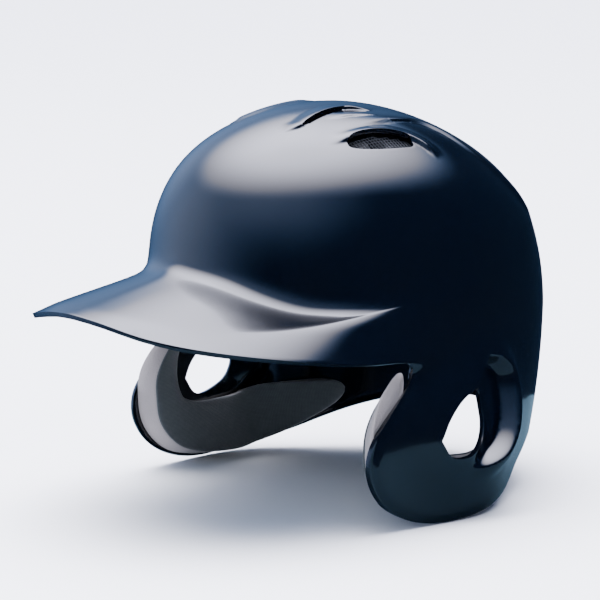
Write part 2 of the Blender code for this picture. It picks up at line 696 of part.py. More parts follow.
def ear_pad(name, depth, thickness, material):
    across, down = 30, 4

    def where(i, j):
        share = 0.5 * i / across + 0.25 * (1.0 - math.cos(math.pi * i / across))
        at = share * (len(EAR_PAD) - 1)
        spine = through(EAR_SPINE, at)
        tangent = (through(EAR_SPINE, at + 0.05) - through(EAR_SPINE, at - 0.05)).normalized()
        taper = math.sqrt(max(1.0 - abs(2.0 * share - 1.0) ** 14, 0.0))
        width = through(EAR_WIDTH, at) * taper * (2.0 * j / down - 1.0)
        return flap_inside(spine.x - tangent.y * width, spine.y + tangent.x * width, depth)

    pad = sheet(name, across, down, where, material)
    face_outward(pad, lambda point: Vector((1.0, 0.0, 0.0)))
    thicken(pad, thickness)
    return pad


foam = ear_pad("ear_pad_foam_left", EAR_FOAM_DEPTH, EAR_FOAM_THICK, FOAM)
mirrored(foam, "ear_pad_foam_right", FOAM)
cover = ear_pad("ear_pad_cover_left", EAR_COVER_DEPTH, EAR_COVER_THICK, FABRIC)
mirrored(cover, "ear_pad_cover_right", FABRIC)
for index, ((hook_y, hook_z), half_y, half_z) in enumerate(EAR_HOOKS):
    def hook_point(i, j, y=hook_y, z=hook_z, wide=half_y, tall=half_z):
        a, b = rounded(i, j, 4, 4, 0.4)
        return flap_inside(y + a * wide, z + b * tall, EAR_HOOK_DEPTH)

    hook = sheet(f"ear_hook_{index + 1}_left", 4, 4, hook_point, HOOK)
    face_outward(hook, lambda point: Vector((1.0, 0.0, 0.0)))
    thicken(hook, HOOK_THICK)
    mirrored(hook, f"ear_hook_{index + 1}_right", HOOK)
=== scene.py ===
# %% [markdown]
# # A double-flap batting helmet
#
# The real thing is one glossy moulding that makes the dome, the brim and both ear flaps, with a
# foam liner, cloth pads and nylon mesh behind its air slots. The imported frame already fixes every
# size and place. This lesson dresses that frame: a smoother shell with its vents and rims, stuffed
# pads, and finishes that take the light as gloss plastic, foam and knitted cloth do.

# %% Load the frame
import math

import bmesh
import bpy
import numpy as np
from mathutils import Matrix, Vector
from mathutils.bvhtree import BVHTree


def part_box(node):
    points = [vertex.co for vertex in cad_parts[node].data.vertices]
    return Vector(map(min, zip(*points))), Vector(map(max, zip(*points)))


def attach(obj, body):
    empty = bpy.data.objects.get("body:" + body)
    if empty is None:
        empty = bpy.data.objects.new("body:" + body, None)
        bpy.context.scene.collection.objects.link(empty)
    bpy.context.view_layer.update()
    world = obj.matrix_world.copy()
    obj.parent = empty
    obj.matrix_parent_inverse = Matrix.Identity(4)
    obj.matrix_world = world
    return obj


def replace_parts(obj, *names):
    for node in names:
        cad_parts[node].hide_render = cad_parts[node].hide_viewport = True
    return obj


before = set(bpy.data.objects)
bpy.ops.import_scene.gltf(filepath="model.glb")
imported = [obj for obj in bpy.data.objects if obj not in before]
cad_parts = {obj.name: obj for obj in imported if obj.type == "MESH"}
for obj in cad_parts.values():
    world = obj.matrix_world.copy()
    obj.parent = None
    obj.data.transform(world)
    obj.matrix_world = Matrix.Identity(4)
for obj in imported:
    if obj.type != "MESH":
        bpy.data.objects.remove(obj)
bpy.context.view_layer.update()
SHELL_LOW, SHELL_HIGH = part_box("outer_shell")
bpy.ops.object.select_all(action="DESELECT")
print("shell from", [round(v, 4) for v in SHELL_LOW], "to", [round(v, 4) for v in SHELL_HIGH])

# %% [markdown]
# ## Small tools
#
# A few helpers are used all the way through. `only` selects exactly the objects an operator should
# act on. `finish_with` adds a modifier and applies it. `ease` is the S-shaped blend that makes every
# change of form soft, and `curve_through` draws one smooth line through given points.

# %% Selecting and finishing
def only(*things):
    """Selects these objects and nothing else; the first one becomes the active one."""
    bpy.ops.object.select_all(action="DESELECT")
    for thing in things:
        thing.select_set(True)
    bpy.context.view_layer.objects.active = things[0]


def finish_with(thing, kind, **settings):
    """Adds a modifier with these settings and applies it."""
    only(thing)
    modifier = thing.modifiers.new(kind.lower(), kind)
    for key, value in settings.items():
        setattr(modifier, key, value)
    bpy.ops.object.modifier_apply(modifier=modifier.name)
    return thing


def smooth_faces(thing, degrees=40):
    """Smooth shading that stays crisp where faces meet at more than this angle."""
    only(thing)
    bpy.ops.object.shade_smooth_by_angle(angle=math.radians(degrees))


def triangles(thing):
    return sum(len(face.vertices) - 2 for face in thing.data.polygons)


# %% Blends and lines
def ease(t):
    t = np.clip(t, 0.0, 1.0)
    return t * t * (3.0 - 2.0 * t)


def through(knots, t):
    """Smooth curve through (parameter, value) knots; values are numbers or tuples."""
    values = [Vector(v) if isinstance(v, tuple) else Vector((v, 0.0)) for _, v in knots]
    marks = [k for k, _ in knots]
    t = min(max(t, marks[0]), marks[-1])
    i = max(j for j in range(len(marks) - 1) if marks[j] <= t)
    span = marks[i + 1] - marks[i]

    def slope(j):
        a, b = max(j - 1, 0), min(j + 1, len(marks) - 1)
        return (values[b] - values[a]) / (marks[b] - marks[a])

    s = (t - marks[i]) / span
    result = (values[i] * (2 * s ** 3 - 3 * s ** 2 + 1) + slope(i) * span * (s ** 3 - 2 * s ** 2 + s)
              + values[i + 1] * (3 * s ** 2 - 2 * s ** 3) + slope(i + 1) * span * (s ** 3 - s ** 2))
    return result if isinstance(knots[0][1], tuple) else result[0]


def resample(points, count):
    """The same line in count + 1 points an equal distance apart."""
    lengths = [0.0]
    for a, b in zip(points, points[1:]):
        lengths.append(lengths[-1] + (Vector(b) - Vector(a)).length)
    result = []
    for k in range(count + 1):
        goal = lengths[-1] * k / count
        i = min(max(j for j, at in enumerate(lengths) if at <= goal + 1e-12), len(points) - 2)
        share = (goal - lengths[i]) / (lengths[i + 1] - lengths[i])
        result.append(Vector(points[i]).lerp(Vector(points[i + 1]), share))
    return result


def curve_through(points, count):
    """An even row of points on a smooth curve through given ones."""
    knots = list(enumerate(points))
    return resample([through(knots, k * (len(points) - 1) / 200) for k in range(201)], count)


# %% [markdown]
# ## The form of the shell
#
# A helmet this glossy shows every flaw in its surface, so the shell is not cut from blocks. It is a
# cage of points laid by a rule, then rounded by subdivision. The rule is the same one that sized the
# frame: an egg-shaped dome, a wall under it that swells over the ear, and listed lines for the
# brow, the crease and the lip. A cage keeps the polygons even, so reflections run without a ripple.

# %% Sizes shared with the frame, in metres
HALF_WIDTH, FRONT_REACH, REAR_REACH, REAR_FULLNESS = 0.100, 0.118, 0.1185, 0.004
APEX_HEIGHT, APEX_SHIFT = 0.218, -0.014
EQUATOR_HEIGHT, EQUATOR_TILT = 0.117, 0.010
DOME_SHOULDER, REAR_SHOULDER, DOME_LEAN = 0.042, 0.020, 0.018
SHELL_WALL, MESH_THICK, FACET_GAP = 0.003, 0.0008, 0.0007
LINER_THICK, HOOK_THICK, PAD_THICK = 0.011, 0.0010, 0.006
EAR_FOAM_THICK, EAR_COVER_THICK = 0.0095, 0.0013
FLAP_LINE_CURVE, FLAP_FLARE, FLAP_FLARE_START, FLAP_FLARE_REACH = 0.25, 0.0085, 0.020, 0.055
NAPE_TUCK, EAR_BULGE, EAR_CENTRE = 0.009, 0.0085, (0.002, 0.0545)
EAR_SPREAD = (0.060, 0.046, 0.050)
BROW_FILLET, RIDGE_ROUND, RIDGE_RISE, NOTCH_ANGLE = 0.011, 0.005, 0.0012, 70
HALF_LENGTH = (FRONT_REACH + REAR_REACH) / 2
PLAN_CENTRE = (REAR_REACH - FRONT_REACH) / 2
WALL_SPAN = 0.160
print("shell top", round(SHELL_HIGH.z, 4), "against", APEX_HEIGHT)

# %% Lines of the brim and flaps
BROW_HEIGHT = [(0, 0.1350), (20, 0.1300), (35, 0.1215), (46, 0.1170), (60, 0.1190), (81, 0.1280),
               (100, 0.1360), (112, 0.1420), (120, 0.1490), (131, 0.1580), (150, 0.1650), (180, 0.1670)]
RIDGE = [(0, (0.000, -0.181, 0.1208)), (10, (0.022, -0.1785, 0.1197)), (20, (0.043, -0.170, 0.1163)),
         (30, (0.060, -0.154, 0.1128)), (40, (0.0715, -0.131, 0.1112)), (50, (0.081, -0.102, 0.1108)),
         (60, (0.090, -0.071, 0.1124)), (70, (0.0965, -0.042, 0.1156)), (81, (0.100, -0.013, 0.1198))]
RIDGE_HEIGHT = [(81, 0.1198), (100, 0.1280), (112, 0.1340), (120, 0.1410), (131, 0.1496),
                (150, 0.1570), (180, 0.1590)]
LIP = [(0, (0.000, -0.190, 0.1185)), (10, (0.024, -0.1875, 0.1165)), (20, (0.046, -0.180, 0.1115)),
       (30, (0.067, -0.167, 0.1074)), (40, (0.083, -0.146, 0.1032)), (50, (0.0935, -0.117, 0.0982)),
       (60, (0.100, -0.083, 0.0927)), (70, (0.1027, -0.047, 0.0904)), (78, (0.1024, -0.023, 0.0946)),
       (86, (0.1010, -0.004, 0.1020))]
LIP_HEIGHT = [(86, 0.1020), (95, 0.1065), (120, 0.1070), (180, 0.1070)]
FLAP_FRONT = [(-0.0400, 0.0870), (-0.0390, 0.0830), (-0.0430, 0.0770), (-0.0530, 0.0670), (-0.0635, 0.0565),
              (-0.0702, 0.0470), (-0.0724, 0.0385), (-0.0710, 0.0290)]
HEM = [(-0.0710, 0.0290), (-0.0660, 0.0195), (-0.0570, 0.0110), (-0.0450, 0.0047), (-0.0320, 0.0012),
       (-0.0190, 0.0002), (-0.0040, 0.0012), (0.0080, 0.0028), (0.0220, 0.0055), (0.0390, 0.0102),
       (0.0580, 0.0178), (0.0800, 0.0250), (0.1020, 0.0310), (0.1170, 0.0338)]
EAR_HOLE = [(-0.0300, 0.0470), (-0.0245, 0.0575), (-0.0155, 0.0665), (-0.0040, 0.0720), (0.0015, 0.0700),
            (0.0028, 0.0605), (0.0030, 0.0510), (-0.0010, 0.0425), (-0.0110, 0.0365), (-0.0225, 0.0370)]
CREST = [(0.0130, 0.0880), (0.0225, 0.0845), (0.0285, 0.0740), (0.0280, 0.0600), (0.0235, 0.0465),
         (0.0145, 0.0365), (0.0020, 0.0300), (-0.0110, 0.0285)]


# %% The head form
def equator(theta):
    return EQUATOR_HEIGHT + EQUATOR_TILT * math.cos(theta)


def dome_point(theta, phi):
    s, c = math.sin(phi), math.cos(phi)
    lean = DOME_LEAN * math.sin(4 * phi) * math.cos(theta)
    shoulder = (DOME_SHOULDER - REAR_SHOULDER * math.cos(theta)) * math.sin(2 * phi) ** 2
    reach = s * (1.0 + shoulder + lean)
    x = HALF_WIDTH * math.sin(theta) * reach
    y = (PLAN_CENTRE - HALF_LENGTH * math.cos(theta) + REAR_FULLNESS * math.sin(theta) ** 2 * s) * reach
    z = (EQUATOR_HEIGHT + EQUATOR_TILT * math.cos(theta) * s) * (1.0 - c) + APEX_HEIGHT * c
    return Vector((x, y + APEX_SHIFT * c, z))


def ear_bulge(y, z):
    dy = y - EAR_CENTRE[0]
    rho = math.hypot(dy / (EAR_SPREAD[0] if dy < 0 else EAR_SPREAD[1]), (z - EAR_CENTRE[1]) / EAR_SPREAD[2])
    return EAR_BULGE * ease((1.0 - rho) * 1.5)


def wall_point(theta, z):
    """The side wall below the equator, with the swelling over the ear."""
    depth = max(equator(theta) - z, 0.0)
    c = math.cos(theta)
    g = c
    if c > 0:
        straight = FLAP_LINE_CURVE * math.tanh(c / FLAP_LINE_CURVE)
        g += (straight - c) * ease((depth - 0.012) / 0.015) * ease((0.80 - c) / 0.18)
    side = math.copysign(math.sqrt(1.0 - g * g), math.sin(theta))
    y = PLAN_CENTRE - HALF_LENGTH * c + REAR_FULLNESS * math.sin(theta) ** 2
    out = FLAP_FLARE * ease((depth - FLAP_FLARE_START) / FLAP_FLARE_REACH) * ease((c + 0.50) / 0.50)
    out -= NAPE_TUCK * (depth / 0.090) ** 2 * ease((0.1 - c) / 0.9)
    out += ear_bulge(y, z)
    normal = Vector((side / HALF_WIDTH, -g / HALF_LENGTH)).normalized()
    return Vector((HALF_WIDTH * side + out * normal.x, y + out * normal.y, z))


def theta_at(y):
    """The angle from the front at which the wall's plan reaches this Y."""
    k = REAR_FULLNESS
    root = HALF_LENGTH ** 2 + 4 * k * (k + PLAN_CENTRE - y)
    return math.acos(min(max((math.sqrt(root) - HALF_LENGTH) / (2 * k), -1.0), 1.0))


def form(theta, w):
    """w runs from 0 at the crown to 1 at the equator and on down the wall."""
    if w <= 1.0:
        return dome_point(theta, w * math.pi / 2)
    return wall_point(theta, equator(theta) - (w - 1.0) * WALL_SPAN)


def w_at(theta, z):
    if z <= equator(theta):
        return 1.0 + (equator(theta) - z) / WALL_SPAN
    low, high = 0.0, 1.0
    for _ in range(30):
        middle = (low + high) / 2
        if dome_point(theta, middle * math.pi / 2).z > z:
            low = middle
        else:
            high = middle
    return high


def form_inside(theta, w, depth):
    """A point at a depth below the head form, along its normal."""
    step = 0.004
    w = max(w, step)
    across = form(theta + step, w) - form(theta - step, w)
    down = form(theta, w + step) - form(theta, w - step)
    return form(theta, w) - down.cross(across).normalized() * depth


print("crown", [round(v, 4) for v in form(0.0, 0.0)], "side", [round(v, 4) for v in form(math.pi / 2, 1.0)])

# %% [markdown]
# ## Laying the cage
#
# Columns run from the crown down over brow, brim, crease and lip, and the flaps hang below the lip
# behind the notch. Where all columns would meet at the crown they would pinch the shine, so a small
# square patch closes the top. Its outer ring has one point for each column, so the two sew together.

# %% One column of the cage
COLUMN_STEP = 5
COLUMNS = 180 // COLUMN_STEP
DOME_SHARES = [0.22, 0.26, 0.30, 0.34, 0.38, 0.42, 0.46, 0.50, 0.545, 0.60, 0.67, 0.75, 0.83, 0.915, 1.0]
FLAP_ROWS = 11


def brow_of(degrees):
    """Where the dome ends above the brow on this column: w of the brow and w where its fillet starts."""
    theta = math.radians(degrees)
    brow_w = w_at(theta, through(BROW_HEIGHT, degrees))
    ridge_z = through(RIDGE, degrees).z if degrees <= RIDGE[-1][0] else through(RIDGE_HEIGHT, degrees)
    fillet = min(BROW_FILLET, 0.45 * abs(form(theta, brow_w).z - ridge_z) if degrees > 81 else BROW_FILLET)
    return brow_w, brow_w - fillet / ((APEX_HEIGHT - EQUATOR_HEIGHT) * math.pi / 2)


def cage_column(degrees):
    theta = math.radians(degrees)
    brow_w, start_w = brow_of(degrees)
    brow = form(theta, brow_w)
    if degrees <= RIDGE[-1][0]:
        ridge = through(RIDGE, degrees)
    else:
        ridge = form_inside(theta, w_at(theta, through(RIDGE_HEIGHT, degrees)),
                            -RIDGE_RISE * ease((150 - degrees) / 40))
    if degrees <= LIP[-1][0]:
        lip = through(LIP, degrees)
    else:
        lip = wall_point(theta, through(LIP_HEIGHT, degrees))
    follow = ease((degrees - 74) / 14)

    def between(start, end, t):
        z = start.z + (end.z - start.z) * t
        start_off = start - form(theta, w_at(theta, start.z))
        end_off = end - form(theta, w_at(theta, end.z))
        return start.lerp(end, t).lerp(form(theta, w_at(theta, z)) + start_off.lerp(end_off, t), follow)

    def bend(a, b, c, t):
        return a.lerp(b, t).lerp(b.lerp(c, t), t)

    top_length, side_length = (ridge - brow).length, (lip - ridge).length
    fillet = min(BROW_FILLET, 0.45 * top_length)
    round_top = min(RIDGE_ROUND, 0.40 * top_length) / top_length
    round_side = min(RIDGE_ROUND, 0.40 * side_length) / side_length
    column = [form(theta, start_w * share) for share in DOME_SHARES]
    foot = between(brow, ridge, fillet / top_length)
    column += [bend(column[-1], brow, foot, t) for t in (0.33, 0.67, 1.0)]
    reach = 1.0 - round_top - fillet / top_length
    column += [between(brow, ridge, fillet / top_length + reach * k / 3) for k in (1, 2, 3)]
    after = between(ridge, lip, round_side)
    column += [bend(column[-1], ridge, after, t) for t in (0.5, 1.0)]
    column += [between(ridge, lip, round_side + (1.0 - round_side) * k / 2) for k in (1, 2)]
    return column


# %% The flap's rows below the lip
def whole_cage():
    """Every column, and the number of the column where the flap starts."""
    columns = [cage_column(COLUMN_STEP * i) for i in range(COLUMNS + 1)]
    notch = NOTCH_ANGLE // COLUMN_STEP
    lips = [column[-1] for column in columns[notch:]]
    top = [Vector((theta_at(lip.y), lip.z)) for lip in lips]
    top[-1].x = math.pi
    scale = HALF_WIDTH

    def flat(points):
        return [(theta_at(y) * scale, z) for y, z in points]

    start = (top[0].x * scale, top[0].y)
    front = curve_through([start] + flat(FLAP_FRONT), FLAP_ROWS)
    hem = curve_through(flat(HEM) + [(math.pi * scale, HEM[-1][1])], len(top) - 1)
    rear_top = Vector((math.pi * scale, top[-1].y))
    for j, column in enumerate(columns[notch:]):
        a = j / (len(top) - 1)
        for k in range(1, FLAP_ROWS + 1):
            b = k / FLAP_ROWS
            up, down = Vector((top[j].x * scale, top[j].y)), hem[j]
            left, right = front[k], rear_top.lerp(hem[-1], b)
            corner_top = Vector((top[0].x * scale, top[0].y)).lerp(rear_top, a)
            corner_low = front[-1].lerp(hem[-1], a)
            spot = up.lerp(down, b) + left.lerp(right, a) - corner_top.lerp(corner_low, b)
            point = wall_point(min(spot.x / scale, math.pi), spot.y)
            overhang = lips[j] - wall_point(top[j].x, top[j].y)
            column.append(point + overhang * ease(1.0 - (top[j].y - spot.y) / 0.008))
    for column in (columns[0], columns[-1]):
        for point in column:
            point.x = 0.0
    return columns, notch


CAGE, NOTCH = whole_cage()
BRIM_ROWS, CAGE_ROWS = len(CAGE[0]), len(CAGE[-1])
print("cage of", len(CAGE), "columns,", CAGE_ROWS, "rows")


# %% Grids that follow a rule
def lay_grid(name, across, down, where, keep=None):
    """A primitive grid whose points are laid by where(column, row); keep says which ones stay."""
    bpy.ops.object.select_all(action="DESELECT")
    bpy.ops.mesh.primitive_grid_add(x_subdivisions=across, y_subdivisions=down, size=1.0)
    thing = bpy.context.object
    thing.name = name
    thing.data.name = name
    mesh = bmesh.new()
    mesh.from_mesh(thing.data)
    lost = []
    for vert in mesh.verts:
        column, row = round((vert.co.x + 0.5) * across), round((vert.co.y + 0.5) * down)
        if keep and not keep(column, row):
            lost.append(vert)
        else:
            vert.co = where(column, row)
    bmesh.ops.delete(mesh, geom=lost, context="VERTS")
    mesh.to_mesh(thing.data)
    mesh.free()
    return thing


def face_away(thing, centre):
    """Turns the faces of an open sheet so that they point away from a centre."""
    mesh = bmesh.new()
    mesh.from_mesh(thing.data)
    bmesh.ops.remove_doubles(mesh, verts=mesh.verts, dist=0.00002)
    bmesh.ops.recalc_face_normals(mesh, faces=mesh.faces)
    if sum(f.normal.dot(f.calc_center_median() - centre) * f.calc_area() for f in mesh.faces) < 0:
        bmesh.ops.reverse_faces(mesh, faces=mesh.faces)
    mesh.to_mesh(thing.data)
    mesh.free()


HEAD_CENTRE = Vector((0.0, 0.0, 0.100))


# %% The cage becomes a mesh
def crown_patch_point(i, j):
    """The square patch on the crown, wrapped into a disc whose rim meets the columns."""
    a = math.sqrt(2.0) * math.sin(math.radians(COLUMN_STEP * i))
    b = math.sqrt(2.0) * math.sin(math.radians(COLUMN_STEP * (j - COLUMNS // 4)))
    u, v = a * math.sqrt(1.0 - b * b / 2), b * math.sqrt(1.0 - a * a / 2)
    theta = math.atan2(u, -v)
    point = form(theta, min(math.hypot(u, v), 1.0) * brow_of(math.degrees(theta))[1] * DOME_SHARES[0])
    if i == 0:
        point.x = 0.0
    return point


shell = lay_grid("shell", COLUMNS, CAGE_ROWS - 1, lambda i, j: CAGE[i][j],
                 keep=lambda i, j: j < BRIM_ROWS or i >= NOTCH)
patch = lay_grid("crown_patch", COLUMNS // 4, COLUMNS // 2, crown_patch_point)
only(shell, patch)
bpy.ops.object.join()
face_away(shell, HEAD_CENTRE)
finish_with(shell, "MIRROR", merge_threshold=0.00005)
finish_with(shell, "SUBSURF", levels=2, render_levels=2)
print("smooth shell sheet:", len(shell.data.vertices), "points")

# %% [markdown]
# ## Folds, hoods and the ear dish
#
# The moulding is not plain. Air slots on the crown sit under low hoods, a raised spine runs over the
# top, a deep dish opens behind each ear hole, and the flap edges are turned in by a narrow bevel.
# Each is a small push along the surface's own normal, shaped by how far a point lies from a line.
# Points around the ear are doubled first, because a push can't be sharper than the mesh under it.

# %% Distances from a line, for all points at once
def measure(points, line):
    """For each point: its distance from the line, signed positive on the left, and the share along it."""
    line = np.array([tuple(p) for p in line])
    lengths = np.hypot(*np.diff(line, axis=0).T)
    starts = np.concatenate([[0.0], np.cumsum(lengths)])
    best, signed, share = np.full(len(points), 9.0), np.zeros(len(points)), np.zeros(len(points))
    for a, b, length, before in zip(line[:-1], line[1:], lengths, starts):
        heading = (b - a) / length
        offset = points - a
        t = np.clip(offset @ heading, 0.0, length)
        gap = np.hypot(*(offset - t[:, None] * heading).T)
        side = np.where(heading[0] * offset[:, 1] - heading[1] * offset[:, 0] >= 0, 1.0, -1.0)
        near = gap < best
        best[near], signed[near], share[near] = gap[near], (gap * side)[near], ((before + t) / starts[-1])[near]
    return signed, share


def fold(points, line, height, rise, tail, fade_in=0.2, fade_out=0.25):
    """A raised edge: steep over rise on the line's right, falling away over tail on its left."""
    signed, share = measure(points, line)
    shape = np.where(signed > 0, 1.0 - ease(signed / tail), ease(1.0 + signed / rise))
    return height * shape * ease(share / fade_in) * ease((1.0 - share) / fade_out)


# %% Finer mesh where a push is sharp
def refine(thing, rule):
    """Splits every face whose middle passes the rule, once, keeping the curve of the surface."""
    centres = np.array([tuple(face.center) for face in thing.data.polygons])
    chosen = rule(centres)
    only(thing)
    bpy.ops.object.mode_set(mode="EDIT")
    bpy.ops.mesh.select_all(action="DESELECT")
    bpy.ops.object.mode_set(mode="OBJECT")
    thing.data.polygons.foreach_set("select", chosen)
    bpy.ops.object.mode_set(mode="EDIT")
    bpy.ops.mesh.subdivide(number_cuts=1, smoothness=1.0)
    bpy.ops.object.mode_set(mode="OBJECT")


def within(values, low, high):
    return (values > low) & (values < high)


def close_to(points, line, reach):
    return np.abs(measure(points, line)[0]) < reach


def around_ear(c):
    return (np.abs(c[:, 0]) > 0.07) & within(c[:, 1], -0.034, 0.036) & within(c[:, 2], 0.022, 0.093)


def around_crest(c):
    return (np.abs(c[:, 0]) > 0.07) & (c[:, 2] < 0.098) & close_to(c[:, 1:3], curve_through(CREST, 60), 0.0055)


def around_hoods(c):
    plan = np.column_stack([np.abs(c[:, 0]), c[:, 1]])
    hoods = [close_to(plan, line, 0.0036) for line in (SIDE_HOOD, FRONT_HOOD, MIDDLE_FOLD)]
    return (hoods[0] | hoods[1] | hoods[2]) & (c[:, 2] > 0.150)


def flap_rim(c):
    near = np.abs(measure(c[:, 1:3], curve_through(FLAP_FRONT[1:] + HEM[1:9], 120))[0]) < 0.008
    return near & (c[:, 2] < 0.095) & (np.abs(c[:, 0]) > 0.05)



# %% Lines on the crown, seen from above (left half)
FRONT_HOOD = curve_through([(0.0205, -0.0660), (0.0235, -0.0605), (0.0252, -0.0540), (0.0232, -0.0460),
                            (0.0213, -0.0375), (0.0203, -0.0280), (0.0213, -0.0185), (0.0245, -0.0100),
                            (0.0290, -0.0030)], 60)
MIDDLE_FOLD = curve_through([(0.0275, -0.0400), (0.0290, -0.0320), (0.0315, -0.0210), (0.0355, -0.0060),
                             (0.0400, 0.0080)], 40)
SIDE_HOOD = curve_through([(0.0450, -0.0530), (0.0470, -0.0480), (0.0483, -0.0400), (0.0486, -0.0300),
                           (0.0503, -0.0180), (0.0545, -0.0070), (0.0590, -0.0010), (0.0645, 0.0030),
                           (0.0700, 0.0050)], 60)
SPINE_EDGE = curve_through([(0.0390, -0.0470), (0.0410, -0.0340), (0.0412, -0.0190), (0.0392, 0.0000),
                            (0.0380, 0.0200), (0.0440, 0.0310), (0.0550, 0.0420), (0.0640, 0.0560),
                            (0.0660, 0.0670), (0.0640, 0.0780), (0.0590, 0.0860)], 90)
REAR_HOOD = curve_through([(0.0610, 0.0800), (0.0530, 0.0868), (0.0400, 0.0925), (0.0270, 0.0970)], 40)


# %% Push the crown and the flaps into shape
def read_points(thing):
    count = len(thing.data.vertices)
    places, normals = np.zeros(count * 3), np.zeros(count * 3)
    thing.data.vertices.foreach_get("co", places)
    thing.data.vertices.foreach_get("normal", normals)
    return places.reshape(-1, 3), normals.reshape(-1, 3)


def crown_push(places):
    plan = np.column_stack([np.abs(places[:, 0]), places[:, 1]])
    push = fold(plan, FRONT_HOOD, 0.0017, 0.0014, 0.010)
    push = np.maximum(push, fold(plan, MIDDLE_FOLD, 0.0010, 0.0016, 0.009, 0.35, 0.4))
    push = np.maximum(push, fold(plan, SPINE_EDGE, 0.0013, 0.0022, 0.016, 0.25, 0.1))
    push += fold(plan, SIDE_HOOD, 0.0022, 0.0021, 0.0085, 0.26, 0.14)
    return push * (places[:, 2] > 0.13)


def ear_push(places):
    """The rolled crest behind the ear hole, and the dish between the crest and the hole."""
    side = places[:, 1:3]
    signed, share = measure(side, curve_through(CREST, 80))
    along = ease(share / 0.22) * ease((1.0 - share) / 0.30)
    roll = 0.0046 * along * (1.0 - ease(np.abs(signed) / 0.013))
    through_hole = [Vector(p) for p in ((-0.0220, 0.0380), (-0.0150, 0.0500), (-0.0040, 0.0720))]
    inside = inside_outline(side, curve_through(CREST, 40) + through_hole)
    from_edge = np.minimum(np.abs(signed), np.abs(measure(side, [CREST[0], EAR_HOLE[3]])[0]))
    sunk = inside * ease(from_edge / 0.0038)
    drop = 0.0068 * ease((side[:, 0] + 0.013) / 0.022)
    near = (np.abs(places[:, 0]) > 0.07) & (places[:, 2] < 0.098) & (np.abs(places[:, 1]) < 0.055)
    return (roll * (1.0 - sunk) - drop * sunk) * near


def inside_outline(points, outline):
    """Which points lie inside a closed outline, by counting the edges to their right."""
    line = np.array([tuple(p) for p in outline])
    inside = np.zeros(len(points), bool)
    for a, b in zip(line, np.roll(line, -1, axis=0)):
        spans = (a[1] > points[:, 1]) != (b[1] > points[:, 1])
        if a[1] != b[1]:
            reach = (b[0] - a[0]) * (points[:, 1] - a[1]) / (b[1] - a[1]) + a[0]
            inside ^= spans & (points[:, 0] < reach)
    return inside


def edge_push(places):
    """The flap's edge turned in by a narrow bevel."""
    side = places[:, 1:3]
    signed, _ = measure(side, curve_through(FLAP_FRONT[1:-1] + HEM[:-1], 120))
    low = ease((0.100 - places[:, 2]) / 0.01) * (np.abs(places[:, 0]) > 0.05)
    return -0.0011 * np.clip(1.0 - np.abs(signed) / 0.0045, 0.0, 1.0) * low


for rule in (around_ear, around_crest, around_hoods, flap_rim):
    refine(shell, rule)
    print("with", rule.__name__, len(shell.data.vertices), "points")
places, normals = read_points(shell)
push = crown_push(places) + ear_push(places) + edge_push(places)
shell.data.vertices.foreach_set("co", (places + normals * push[:, None]).ravel())
shell.data.update()
print("pushed from", round(push.min() * 1000, 2), "to", round(push.max() * 1000, 2), "mm")

# %% [markdown]
# ## Opening the ear holes and the vents
#
# A Boolean cut would leave ragged slivers that show in the gloss. Here the faces inside an outline
# are taken away instead, the points left on the border slide onto the outline, and their neighbours
# even out. Every moved point is dropped back on the surface, so the shine runs clean to the edge.

# %% A hole with a clean border
def open_hole(thing, outline, origin, across, up):
    """Opens a hole: the outline's numbers are distances along across and up from the origin."""
    outward = across.cross(up).normalized()
    mesh = bmesh.new()
    mesh.from_mesh(thing.data)
    skin = BVHTree.FromBMesh(mesh)
    line = np.array([tuple(p) for p in outline])
    closed = np.vstack([line, line[:1]])

    def seen(point):
        offset = point - origin
        return np.array([offset.dot(across), offset.dot(up)])

    def on_skin(spot):
        above = origin + across * spot[0] + up * spot[1] + outward * 0.05
        return skin.ray_cast(above, -outward)[0]

    def on_line(spot):
        start, step = closed[:-1], np.diff(closed, axis=0)
        t = np.clip(((spot - start) * step).sum(1) / (step * step).sum(1), 0.0, 1.0)
        nearest = start + step * t[:, None]
        return nearest[np.argmin(np.hypot(*(nearest - spot).T))]

    close = [f for f in mesh.faces if (f.calc_center_median() - origin).length < 0.05]
    middles = np.array([seen(f.calc_center_median()) for f in close])
    gone = [f for f, lies_in in zip(close, inside_outline(middles, outline)) if lies_in]
    gone_set = set(gone)
    border = [v for v in {v for f in gone for v in f.verts} if any(f not in gone_set for f in v.link_faces)]
    bmesh.ops.delete(mesh, geom=gone, context="FACES")
    for vert in border:
        vert.co = on_skin(on_line(seen(vert.co))) or vert.co
    border_set = set(border)
    for _ in range(4):
        for vert in border:
            beside = [e.other_vert(vert) for e in vert.link_edges if e.is_boundary]
            if len(beside) == 2:
                spot = (seen(beside[0].co) + seen(beside[1].co)) / 4 + seen(vert.co) / 2
                vert.co = on_skin(on_line(spot)) or vert.co
        ring = {e.other_vert(v) for v in border for e in v.link_edges} - border_set
        for vert in ring:
            around = [seen(e.other_vert(vert).co) for e in vert.link_edges]
            vert.co = on_skin(np.mean(around, axis=0) * 0.5 + seen(vert.co) * 0.5) or vert.co
    mesh.to_mesh(thing.data)
    mesh.free()
    return len(gone)


# %% Ear holes
ear_outline = curve_through(EAR_HOLE + EAR_HOLE[:1], 160)[:-1]
UP = Vector((0.0, 0.0, 1.0))
for side in (1.0, -1.0):
    middle = Vector((side * 0.110, -0.012, 0.054))
    outline = [(side * (p.x - middle.y), p.y - middle.z) for p in ear_outline]
    count = open_hole(shell, outline, middle, Vector((0.0, side, 0.0)), UP)
    print("ear hole took", count, "faces")

